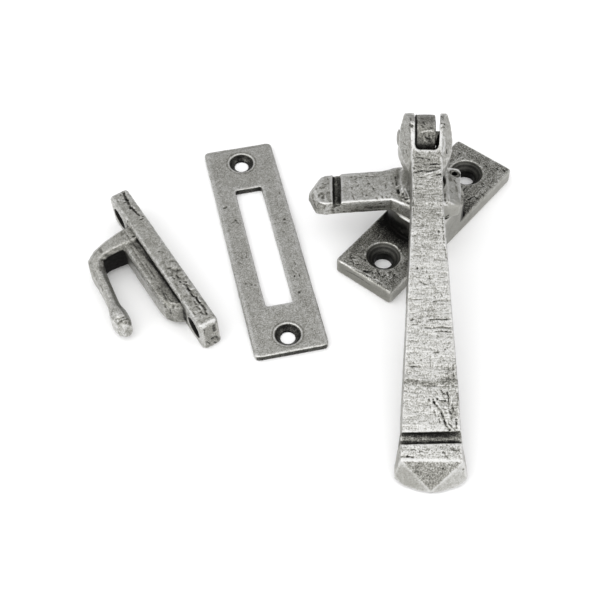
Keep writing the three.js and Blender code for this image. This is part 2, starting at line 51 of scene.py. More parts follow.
# ---------------------------------------------------------------- own axes
def turn_z(degrees):
    a = math.radians(degrees)
    return np.array([[math.cos(a), -math.sin(a), 0], [math.sin(a), math.cos(a), 0], [0, 0, 1.0]])


def turn_x(degrees):
    a = math.radians(degrees)
    return np.array([[1.0, 0, 0], [0, math.cos(a), -math.sin(a)], [0, math.sin(a), math.cos(a)]])


# Origin (mm) and turn of each piece's own axes in the scene.
FRAMES = {
    "base": (np.zeros(3), turn_z(-39.04)),
    "block": (np.zeros(3), np.eye(3)),
    "lever": (np.array([-1.1, 10.9, 23.5]), turn_z(-1.4) @ turn_x(13.6)),
    "mortice": (np.array([-45.44, -9.0, 0.0]), turn_z(12.74)),
    "hook": (np.array([-60.6, -43.41, 0.0]), turn_z(121.0) @ turn_x(-3.74)),
}


def to_local(points, axes):
    origin, turn = FRAMES[axes]
    return (points - origin) @ turn


def to_scene(points, axes):
    origin, turn = FRAMES[axes]
    return points @ turn.T + origin


# ---------------------------------------------------------- noise and masks
def ramp(value, start, end):
    """Smooth step from 0 at start to 1 at end."""
    t = np.clip((value - start) / (end - start), 0, 1)
    return t * t * (3 - 2 * t)


def fade(value, start, end):
    """Smooth step from 1 at start to 0 at end."""
    return 1 - ramp(value, start, end)


def band(value, start, end, soft):
    """1 between start and end, with both edges softened."""
    return ramp(value, start - soft, start + soft) * fade(value, end - soft, end + soft)


def cell_hash(cell, seed):
    """A repeatable number, 0 to 1, for each row of whole numbers."""
    ix, iy, iz = cell.astype(np.uint32).T
    h = (
        ix * np.uint32(374761393)
        + iy * np.uint32(668265263)
        + iz * np.uint32(2246822519)
        + np.uint32((seed * 3266489917) & 0xFFFFFFFF)
    )
    h = (h ^ (h >> np.uint32(13))) * np.uint32(1274126177)
    h = (h ^ (h >> np.uint32(15))) * np.uint32(2654435761)
    h = h ^ (h >> np.uint32(16))
    return h.astype(np.float64) / 4294967296.0


def noise(points, scale, seed=0):
    """Smooth value noise, -1 to 1. scale: features per mm, one number or three."""
    place = points * np.asarray(scale, float)
    cell = np.floor(place).astype(np.int64)
    part = place - cell
    part = part * part * part * (part * (part * 6 - 15) + 10)
    total = np.zeros(len(points))
    for corner in product((0, 1), repeat=3):
        share = np.where(corner, part, 1 - part)
        total += share[:, 0] * share[:, 1] * share[:, 2] * cell_hash(cell + corner, seed)
    return total * 2 - 1


def fbm(points, scale, octaves, seed):
    """Layered noise; each octave is finer and half as strong."""
    total, strength, sum_strength = np.zeros(len(points)), 1.0, 0.0
    scale = np.asarray(scale, float)
    for k in range(octaves):
        total += strength * noise(points, scale * 2.03**k, seed + 17 * k)
        sum_strength += strength
        strength *= 0.5
    return total / sum_strength


def pits(points, scale, share, size, seed):
    """Scattered round pits, 0 to 1: share of cells that hold one, size in cells."""
    place = points * scale
    cell = np.floor(place).astype(np.int64)
    depth = np.zeros(len(points))
    for step in product((-1, 0, 1), repeat=3):
        near = cell + step
        filled = cell_hash(near, seed + 5) < share
        radius = size * (0.45 + 0.55 * cell_hash(near, seed + 9))
        centre = np.stack([cell_hash(near, seed + k) for k in (1, 2, 3)], 1)
        away = np.sqrt(((place - near - centre) ** 2).sum(1))
        depth = np.maximum(depth, np.where(filled, ramp(1 - away / radius, 0, 1), 0))
    return depth


# ---------------------------------------------------------- drawn marks
def read_marks(top, table):
    """Marks as (kind, half width, depth, points); a point with no z lies at z = top."""
    marks = []
    for line in table.strip().splitlines():
        kind, width, depth, *places = line.split()
        points = [[float(v) for v in place.split(",")] for place in places]
        points = [point if len(point) == 3 else point + [top] for point in points]
        marks.append((kind, float(width), float(depth), points))
    return marks


def draw_marks(local, marks):
    """Dark and light paint, 0 to 1, and the height in mm that the marks leave."""
    dark, light, lift = np.zeros((3, len(local)))
    for kind, width, depth, points in marks:
        reach = max(width, VOXEL * 1.15)
        path = np.array(points, float)
        low, high = path.min(0) - reach, path.max(0) + reach
        near = np.where(((local > low) & (local < high)).all(1))[0]
        if not len(near):
            continue
        spots = local[near]
        away = np.full(len(near), 1e9)
        for start, end in zip(path, path[1:]):
            leg = end - start
            t = np.clip(((spots - start) @ leg) / max(leg @ leg, 1e-9), 0, 1)
            away = np.minimum(away, np.linalg.norm(spots - start - t[:, None] * leg, axis=1))
        wobble = 1 + 0.3 * noise(spots, 2.3, seed=len(points) + 7)
        cover = fade(away * wobble, reach * 0.3, reach)
        cover = cover * np.clip(0.78 + 0.55 * noise(spots, 1.7, seed=len(points) + 3), 0, 1)
        thin = min(1.0, max(width, 0.12) / reach)
        if kind in "dD":
            strength = 0.5 if kind == "D" else min(0.6, 0.08 + depth / 0.3)
            dark[near] = np.maximum(dark[near], cover * thin * strength)
            lift[near] = np.minimum(lift[near], -depth * cover)
        else:
            strength = 1.0 if kind == "L" else 0.6
            light[near] = np.maximum(light[near], cover * thin * strength)
            lift[near] = np.maximum(lift[near], depth * cover)
    return dark, light, lift


# Nicks, scratches, casting pits and rubbed edges, with some painted highlights and painted shade, in
# each piece's own axes, mm.
# Columns: kind (d groove, D stain, also painted shade beside raised parts, l ridge, L rubbed bright,
# also painted highlight along lit edges), half width, depth, then the points of the line as x,y or
# x,y,z. Later marks act on earlier ones.
MARKS_HANDLE = read_marks(5.6, """
d 0.35 0.12 1.03,-11.36 2.09,-11.16 3.42,-11.25
d 0.22 0.05 -0.84,-11.52 -0.04,-11.57
d 0.4 0.15 -4.04,-12.26 -3.51,-12.73
d 0.32 0.12 -2.46,-13.44 -0.86,-13.28 0.99,-13.43 2.33,-13.04 3.4,-12.59
d 0.3 0.1 -3.39,-13.88 -2.2,-13.86
d 0.25 0.08 -3.79,-14.07 -3.64,-14.79
l 0.36 0.1 -0.61,-14.37 0.99,-13.91 2.59,-13.33 3.66,-12.86
d 0.4 0.16 2.57,-14.42 3.63,-14.28 3.62,-14.82
d 0.22 0.06 1.23,-14.93 2.57,-14.54
d 0.2 0.05 -1.69,-15.36 -0.62,-15.15
d 0.2 0.05 0.96,-15.66 1.75,-15.53
d 0.3 0.08 0.74,-12.34 1.81,-12.14 3.41,-12.1
d 0.22 0.05 -3.24,-11.93 -1.91,-12.33
d 0.25 0.07 -3.21,-9.39,5.62 -2.14,-9.24,5.63 -1.35,-9.47,5.62
d 0.25 0.07 -0.55,-9.39,5.62 0.78,-9.96
d 0.2 0.05 -2.93,-7.85,5.68 -1.87,-8.46,5.66
d 0.2 0.05 -3.23,-10.9 -1.89,-10.69
d 0.35 0.1 -3.79,-7.72,5.69 -3.74,-8.8,5.65
d 0.25 0.06 2.84,-8.01,5.68 3.37,-7.64,5.69
d 0.22 0.06 2.13,-8.5,5.66 2.82,-8.91,5.64
d 0.25 0.06 3.69,-8.05,5.68 3.89,-9.06,5.64
L 0.45 0 -4.15,-7.36,5.58 -4.07,-9.51,5.59 -4.08,-11.28,5.49 -4.05,-13.47
L 0.45 0 3.78,-9.37,5.62 3.96,-10.87 4.09,-12.55,5.55
d 0.3 0.08 3.77,-12.76 4.03,-13
L 0.5 0 -2.93,-6.94,5.76 -1.86,-7.38,5.7 0.01,-7.4,5.7 1.88,-7.31,5.71 3.06,-6.83,5.77
L 0.55 0 -3.73,-2.86,6.36 -3.59,-4.55,6.07 -3.46,-6.26,5.84
L 0.6 0 3.78,-3.01,6.33 3.77,-4.42,6.1 3.49,-6.13,5.86
L 0.5 0 4.62,-3.04,5.89 4.93,-4.76,5.14 4.32,-7.37,5.38
d 0.62 0.16 -4.61,0.37,6.33 -3.83,-0.36,6.64
d 0.4 0.08 -4.49,2.43,6.35 -4.24,1.66,6.59
d 0.35 0.06 -4.76,-0.54,6.07 -4.27,-2.59,6.4
d 0.42 0.14 3.92,0.73,6.73 4.84,0.87,6.13
d 0.35 0.08 3.96,-0.57,6.62 4.76,-0.2,6.14
d 0.3 0.06 3.95,3.57,5.78 4.7,2.5,6.23
d 0.25 0.06 4.32,-1.57,6.54 4.62,-2.77,5.96
d 0.45 0.14 5.4,-6.04,4.39 5.53,-6.83,4.05
d 0.25 0.05 4.84,-8.8,4.68 5.05,-9.86,3.84
d 0.22 0.05 -5.76,-0.74,4.8 -5.76,-2.22,4.68
d 0.22 0.05 -6.26,-3.62,3.87 -5.25,-5.31,4.66
d 0.22 0.05 -5.49,-6.24,4.14 -4.97,-8.41,4.17
d 0.22 0.05 -6.24,-5.82,3.39 -5.98,-7.05,3.38
d 0.24 0.08 -3.74,-19.18 -3.81,-20.98
d 0.24 0.08 -3.77,-21.87 -3.84,-23.65
d 0.24 0.08 -3.8,-24.54 -3.87,-26.9
d 0.26 0.08 3.8,-27.32 3.92,-29.66
d 0.3 0.1 3.81,-29.96 3.83,-31.41
d 0.26 0.08 3.97,-32.28 4.08,-34.59
d 0.26 0.08 4.16,-35.74 4.51,-38.89
L 0.3 0 -4.12,-17.38,4.47 -4.17,-20.94,3.27 -4.36,-25.94,3.72 -4.59,-31.19,4.81
d 0.32 0.1 -3.05,-41.9 -2.9,-42.01
d 0.32 0.1 -1.77,-41.87 -1.67,-42.04
d 0.2 0.06 -4.87,-44.2 -3.34,-44.22
d 0.26 0.08 -5.44,-50.49 -4.17,-50.79 -2.39,-50.65
d 0.26 0.08 0.9,-51.24 2.69,-50.87 5.23,-50.93
d 0.3 0.12 0.06,-56.23 1.84,-56.08 3.6,-56.1 5.12,-55.9
d 0.24 0.08 -4.25,-57.69 -2.98,-57.61
d 0.28 0.09 -1.23,-58.5 0.78,-58.51 2.8,-58.25 5.07,-58.31
d 0.3 0.12 1.52,-59.47 3.29,-59.33 5.3,-59.45
d 0.26 0.08 -5.05,-62.16 -3.04,-62.18
d 0.3 0.08 -5.6,-68.19 -4.35,-67.95
d 0.3 0.08 -4.86,-68.97 -2.62,-68.82
D 0.9 0 -6.39,-72.87 -3.91,-73.19 -0.2,-73.27 3.52,-72.92 6,-72.61
d 0.22 0.06 -6.13,-72.45 -3.16,-72.49
d 0.22 0.06 -1.69,-73.98 2.26,-74
d 0.35 0.12 -4.74,-56.6 -4.23,-56.04
d 0.35 0.1 -4.71,-53.41 -4.63,-53.52
d 0.3 0.09 0.93,-65.16 2.18,-65.03
d 0.28 0.08 3.69,-64.24 4.3,-63.8
d 0.22 0.06 -0.1,-66.63 -0.03,-68.76
d 0.35 0.1 -2.35,-67.21 -2.28,-67.37
d 0.35 0.12 -6.49,-73.03 -6.41,-73.24
d 0.25 0.08 -6.65,-75.51 -5.91,-75.54
d 0.25 0.08 -7.06,-78.59,3.94 -6.19,-79.25
d 0.3 0.09 5.6,-68.38 5.73,-69.44
d 0.3 0.09 5.65,-70.5 5.77,-72.08
d 0.34 0.13 -0.51,-77.57 -0.42,-77.72
d 0.34 0.13 0.47,-77.65 0.57,-77.86
d 0.34 0.13 1.46,-77.32 1.53,-77.52
d 0.38 0.14 2.43,-77.92 3.57,-77.84
d 0.42 0.2 0.71,-78.22 1.43,-79.24 2.15,-80.26 2.85,-81.79 3.54,-84.09 4.49,-85.35
l 0.3 0.08 1.35,-78.2 2.26,-79.59 2.97,-80.5
d 0.3 0.12 4.28,-83.82 5,-84.47 5.71,-85.32
d 0.3 0.12 6.12,-82.5 6.11,-84.8
d 0.3 0.1 3.96,-75.54 4.43,-76.83 4.15,-78.4
l 0.28 0.06 4.69,-75.78 5.15,-77.34 4.87,-78.91
d 0.26 0.09 5.12,-78.64 5.57,-80.44
d 0.26 0.09 4.12,-79.7 4.82,-81.24 5.03,-82.78
l 0.28 0.06 3.39,-79.2 4.1,-80.74 4.31,-82.28
d 0.26 0.08 1.63,-81.82 2.09,-83.35
d 0.26 0.08 0.67,-80.29 1.14,-81.83
d 0.26 0.08 2.49,-75.05 3.21,-76.08
d 0.26 0.08 1,-75.34 1.73,-76.11
d 0.24 0.07 -0.29,-79.02 -0.06,-80.05
D 0.5 0 -7.46,-85.23,1.7 -4.76,-86.2,5.22 -0.36,-86.02,5.13 3.53,-85.79,5.31 6.69,-85.61,5.43
D 0.5 0 -7.64,-88.35,4.25 -4.74,-88.47,4.67 -0.36,-88.45,4.75 3.53,-88.32,4.77 6.7,-88.14,4.76
d 0.3 0.1 -7.51,-92.35 -5.09,-92.35
D 0.55 0 4.62,-90.32 6.56,-90.33
d 0.3 0.1 2.67,-90.97 3.15,-91.46
d 0.3 0.1 3.38,-91.96 3.85,-92.35
d 0.26 0.08 -2.89,-90.84 -1.93,-91.07
d 0.26 0.08 -4.83,-90.38 -3.86,-90.61
L 0.34 0 -7.27,-93.35 -4.86,-93.35 -0.51,-93.25 3.84,-93.11 6.5,-92.95
D 0.9 0 -6.29,-8.32,-0.38 -4.22,-21.87,1.62
d 0.26 0.08 -2.43,-45.44 -1.98,-45.94
d 0.28 0.07 -1.42,-46.15 -0.7,-46.48
d 0.22 0.05 0.15,-44.26 0.29,-44.94
d 0.22 0.05 -0.55,-42.69 -0.45,-43.26
d 0.2 0.05 1.28,-49.79 1.53,-50.06
d 0.22 0.05 3.03,-48.97 3.22,-49.47
l 0.24 0.05 1.26,-44.92 2.04,-44.62
l 0.24 0.05 1.98,-47.71 2.75,-47.41
d 0.2 0.05 1.76,-45.58 2.27,-45.74
""")
MARKS_BLOCK = read_marks(17.5, """
L 0.26 0 -23.97,-7.12,17.4 -21.28,-6.84,17.41 -18.58,-6.57,17.43 -14.79,-6.33,17.32 \
-10.73,-5.99,17.34
L 0.34 0 -10.47,-6.11,17.31 -9.41,-6.69,17.32 -8.36,-7.27,17.32 -7.03,-7.86,17.18 \
-5.98,-8.21,17.18
L 0.42 0 -8.77,-7.22,13.34 -8.56,-7.34,13.31
L 0.42 0 -30.58,-5.83,17.32 -30.06,-6.92 -29.09,-7.41,17.41 -27.75,-7.47,17.48 -26.51,-7.14
L 0.28 0 -26.7,2.02 -26.84,-0.55 -26.78,-3.46 -26.55,-6.35
L 0.28 0 -24.58,3.22,16.6 -24.52,0.27,16.6 -24.41,-2.66,16.6 -24.22,-6.38,17.13
d 0.9 0.25 -7.48,-4.46,18.21 -6.71,-5.26,18.3 -6.33,-6.2,18.3
d 0.8 0.22 -7.61,-5.3,17.94 -6.76,-6.33,18.28
d 0.3 0.1 -8.07,-6.49 -6.76,-7.33,17.56 -5.98,-7.76,17.64
l 0.4 0.14 -8.1,-3.1,17.91 -7.38,-2.22,18.3 -6.34,-0.91,18.3
l 0.36 0.12 -6.75,-2.73,18.3 -6.39,-4.18,18.3 -5.94,-5.98,18.3
d 0.5 0.14 -8.82,-2.74 -8.49,-3.83
l 0.3 0.08 -9.2,-1.65 -8.39,-1.39,17.78
d 0.3 0.08 -9.21,2.02 -9.06,-0.92
d 0.28 0.08 -10.06,-0.18 -9.73,-1.28
d 0.35 0.1 -16.76,-0.18 -16.34,-0.55
d 0.24 0.06 -20.52,2.17 -19.43,2.02 -18.34,1.65
d 0.24 0.06 -20.27,1.14 -19.71,1.51
d 0.24 0.06 -17.23,2.39 -15.87,2.24 -14.5,2.39
d 0.35 0.1 -14.67,-5.63 -14.41,-5.92
d 0.28 0.08 -21.27,-1.79 -21.17,-2.37
d 0.24 0.07 -21.06,-4.55 -20.72,-5.99
d 0.24 0.07 -18.38,-3.46 -18.31,-4.91
d 0.24 0.06 -20.13,0.18 -19.23,-0.77 -19.79,-1.28
d 0.3 0.08 -13.13,-4.91 -12.99,-5.49
d 0.3 0.08 -11.94,-5.05 -11.81,-5.63
d 0.26 0.07 -15.71,-1.28 -15.22,-2.74
d 0.26 0.07 -11.98,-0.55 -11.93,-2.01
d 0.26 0.07 -10.91,-3.46 -10.4,-4.19
D 0.8 0.05 -29.58,-2.01 -28.92,-1.65
d 0.28 0.08 -29.29,-0.33 -28.48,-0.77 -27.66,-0.4
d 0.28 0.07 -27.9,1.8 -27.64,0.92
d 0.3 0.08 -30.83,-2.16 -30.67,-2.37
d 0.45 0.12 -30.42,-5.13 -30.09,-4.4
D 0.8 0.06 -29.33,-4.04 -29.07,-5.27
D 0.7 0.05 -27.7,-3.83 -27.62,-5.99 -27.04,-6.85
l 0.28 0.06 -31.59,-3.12,17.11 -30.95,-4.71,17.28 -30.69,-5.75,17.23
D 0.45 0 -32.02,-3.9,16.37 -31.49,-6.05,15.94 -30.69,-7.62,15.44
d 0.4 0.12 -28.81,-7.99,15.86 -28.55,-7.96,16.56
D 0.6 0.03 -26.27,-7.69,16.01 -25.58,-7.61,16.49
d 0.3 0.08 -25.11,-7.55,14.87 -24.83,-7.52,14.5
D 0.6 0.04 -26.63,-7.73,15 -26.06,-7.66,13.93
d 0.42 0.1 -23.45,-7.36,13.74 -22.79,-7.3,13.59
l 0.24 0.03 -21.26,-7.16,16.63 -19.1,-6.97,16.82 -16.94,-6.75,16.74
d 0.35 0.1 -13.66,-6.39,16.16 -13.1,-6.33,15.93
d 0.4 0.12 -10.42,-6.3,13.36 -10.31,-6.36,13.26
D 0.7 0 -17.41,-6.81,15 -14.68,-6.5,14.74 -12.5,-6.26,14.71
D 0.6 0 -21.18,-7.15,14.17 -17.35,-6.8,13.51 -13.64,-6.39,13.31
d 0.26 0.06 -8.93,-7.14,15.13 -8.58,-7.33,13.3
l 0.34 0.12 3.37,-5.98,18.3 3.36,-7.41,18.3 3.35,-8.43,18 4.29,-8.32,17.71
d 0.3 0.1 3.82,-4.9,18.3 3.6,-6.7,18.3 3.73,-7.91,18.3
d 0.3 0.08 4.62,-6.7,18.3 4.62,-7.57,18.24 4.06,-8.01,18.17
l 0.28 0.06 4.13,-4.32,18.3 4.82,-5.26,18.3 4.96,-6.59,18.18
d 0.28 0.12 4.06,-8.9,13.21 4.26,-8.87,13.34 4.86,-8.78,13.98
L 0.28 0 4.05,-8.9,13.17 4.61,-8.74,13.04
l 0.24 0.05 4.2,-8.71,12.91 4.25,-8.66,12.96
d 0.3 0.08 5.3,-3.27,18.09 5.82,-3.98,17.83
d 0.4 0.1 6.74,0.96,17.45 7.25,0.08,17.21
D 0.6 0 7.14,-1.41,17.24 7.2,-2.83,17.2
d 0.3 0.06 6.22,1.62,17.69 7.08,1.69,17.3
d 0.4 0.08 6.25,2.08,17.68 6.64,1.87
D 1 0 5.56,4.05,17.71 5.56,1.94,18 5.86,0.6,17.85
L 0.34 0 6.26,5.81,16.78 6.53,5.13,16.88 7.67,5.18,16.82 8.31,4.76,16.79 8.68,3.75,16.43
L 0.36 0 7.88,-3.61,16.86 7.98,-5.35,16.78 7.89,-7.36,16.21
L 0.26 0 7.76,-7.6,15.66 7.81,-7.55,15.71
D 0.45 0 -3.4,15.21,28.06 -3.44,13.31,27.28 -3.49,11.15,26.39 -3.54,9.27,25.62
d 0.32 0.09 -2.08,10.76,29.84 -1.69,9.93,29.77
d 0.34 0.1 -2.46,9.56,29.69 -2,9.13,29.58
d 0.28 0.07 -0.28,8.95,29.54 0.41,8.73,29.47
d 0.26 0.06 -0.92,8.96,29.53 -0.67,8.56,29.4
d 0.26 0.06 -3.14,11.14,29.84 -2.8,10.41,29.82
d 0.26 0.06 -2.52,12.46,29.66 -2.01,11.99,29.75
L 0.3 0 -2.35,7.81,29.03 -1.38,8.05,29.16 -0.3,8.2,29.24 0.5,8.04,29.17
d 0.3 0.08 -1.93,7.35,28.74 -1.66,6.79,28.31
d 0.3 0.08 -0.69,7.47,28.84 -0.58,6.9,28.43
d 0.34 0.09 -1.39,6.59,28.14 -0.84,6.31,27.89
d 0.4 0.1 0.49,6.89,28.44 0.66,6.48,28.09
d 0.34 0.09 -0.47,6.24,27.81 -0.29,5.78,27.28
l 0.28 0.06 -1.91,6.15,27.67 -1.1,5.8,27.27 -0.12,5.57,26.96
l 0.26 0.05 -2.03,6.96,28.45 -1.81,6.39,27.95
l 0.26 0.05 -0.05,6.89,28.44 0.06,6.49,28.09
""")
MARKS_BASE = read_marks(4.8, """
L 0.45 0 -1.61,-10.76,11.74 -0.56,-10.81,11.8 0.43,-10.79,11.84 1.39,-10.73,11.82
L 0.3 0 -7.73,-28.77,4.68 -5.47,-28.58 -3.02,-28.2 -0.5,-27.93 2.01,-27.67 5.05,-27.67 8.34,-28.23
d 0.24 0.05 -5.68,-29.1,2.87 -2.95,-29.1,3.38 -0.22,-29.1,3.38 2.51,-29.1,3.12
l 0.36 0.12 -0.81,-10.85,6.42 -0.69,-10.85,6.35
l 0.36 0.12 -0.21,-10.89,6.14 -0.1,-10.89,6.06
l 0.4 0.12 1.25,-10.82,5.98 1.35,-10.81,5.96
d 0.4 0.14 -0.84,-27.23 -0.12,-27.09 0.38,-26.59
d 0.35 0.12 0.67,-28.05 0.92,-28.11
d 0.3 0.1 0.59,-25.98 1.39,-26.4
l 0.3 0.08 1.81,-26.51 2.85,-26.99
d 0.3 0.1 2.23,-25.27 3.27,-25.76
d 0.3 0.1 4.31,-25.8 4.36,-24.7
d 0.3 0.1 4.95,-23.95 4.84,-22.71
l 0.3 0.09 3.91,-23.91 4.95,-24.4
d 0.3 0.1 6.41,-24.1 6.21,-22.93
l 0.3 0.09 6.28,-24.83 6.16,-24.04
d 0.3 0.1 -5.44,-26.84 -4.84,-26.99
d 0.3 0.1 -4.64,-25.92 -3.87,-25.94
d 0.3 0.1 -6.42,-26.02 -6.21,-25.4
l 0.28 0.08 -5.57,-25.96 -4.93,-25.72
d 0.3 0.1 -4.81,-24.08 -4.09,-24.13
d 0.3 0.1 -3.79,-26.76 -3.45,-26.31
l 0.28 0.08 -3.66,-25.58 -3.32,-24.86
d 0.3 0.1 -3.45,-24.07 -2.61,-24.28
d 0.24 0.06 -5.19,-16.34 -5.5,-14.1
l 0.22 0.05 -4.76,-16.46 -5.11,-14.15
d 0.24 0.06 -4.54,-16.01 -4.86,-13.57
D 1.6 0 -8.06,-7.91 -4.79,-9.71,7.12 -2.11,-10.66,8.26 0.07,-10.9,8.82
D 1.3 0 -8.04,-10.72 -5.86,-10.84 -3.27,-10.61
D 0.5 0 -7.19,-8,6.37 -6.44,-8.96
d 0.26 0.09 3.26,13.62 3.1,15.65 2.97,17.3,3.88
d 0.26 0.09 3.88,14.32 3.99,16.86
d 0.24 0.08 7.59,5.93,12.18 4.53,13.57 4.85,14.61
d 0.3 0.1 6.26,11.57 6.67,12.97
d 0.3 0.1 7.02,13.64 8.33,13.54
d 0.26 0.09 6.64,10.04 7.3,11.06 8.43,11.4
d 0.26 0.08 7.48,15.77 8.63,15.61,4.72
d 0.3 0.09 -1.41,26.53 -0.96,26.38
d 0.3 0.09 5.02,24.96 5.46,24.81
d 0.28 0.08 2.94,25.48 3.82,25.19
d 0.28 0.08 5.61,26.64 6.5,26.35
d 0.28 0.08 5.68,19.22 6.21,19.15
d 0.28 0.08 7.53,27.39 8.14,27.19
d 0.28 0.08 -2.89,26.34 -1.99,26.05
d 0.26 0.08 -6.98,27.66 -6.16,27.29
d 0.26 0.08 -5.82,23.96 -5.92,25.12
l 0.26 0.06 -4.87,22.39 -4.65,23.59 -4.15,24.09
l 0.26 0.06 -5.7,26.12 -4.83,25.59
D 0.7 0 7.82,5.58,12.24 9,4.09,11.08 8.11,6.64 9,4.68,5.93
""")
MARKS_MORTICE = read_marks(2.0, """
d 0.42 0.14 -8.07,15.51 -7.44,15.75
d 0.4 0.13 -5.85,10.26 -5.69,10.08
d 0.26 0.08 -5.61,9.45 -5.27,9.15
d 0.2 0.05 -7.3,9.61 -6.41,9.78
d 0.26 0.07 6.45,3.26 6.64,3.07
d 0.3 0.08 6.3,3.37 6.53,3.09
d 0.22 0.06 7.13,0.12 7.22,-0.27
d 0.26 0.07 7.07,-8.07 7.13,-8.8
d 0.26 0.07 5.83,-10.88 6.15,-11.45
d 0.26 0.08 5.9,-13.04 6.19,-12.53
d 0.26 0.08 7.33,-12.43 7.44,-13.17
l 0.24 0.05 6.68,-11.57 7.14,-12.03
d 0.22 0.06 7.51,6.26 7.84,5.95
D 0.5 0 7.4,6.28 7.72,5.91
d 0.26 0.07 -5.56,-3.18 -5.47,-3.57
d 0.24 0.06 -8.1,-4.64 -7.66,-5.25
d 0.22 0.06 -6.95,-3.09 -6.52,-3.76
d 0.24 0.06 -9.07,-8.16 -8.84,-8.42
d 0.24 0.06 -6.13,-12.93 -5.94,-13.33
d 0.26 0.06 -5.12,-13.38 -4.92,-13.77
d 0.24 0.06 -7.49,-12.27 -7.35,-12.66
d 0.28 0.08 8.4,17.85 8.48,17.68
""")
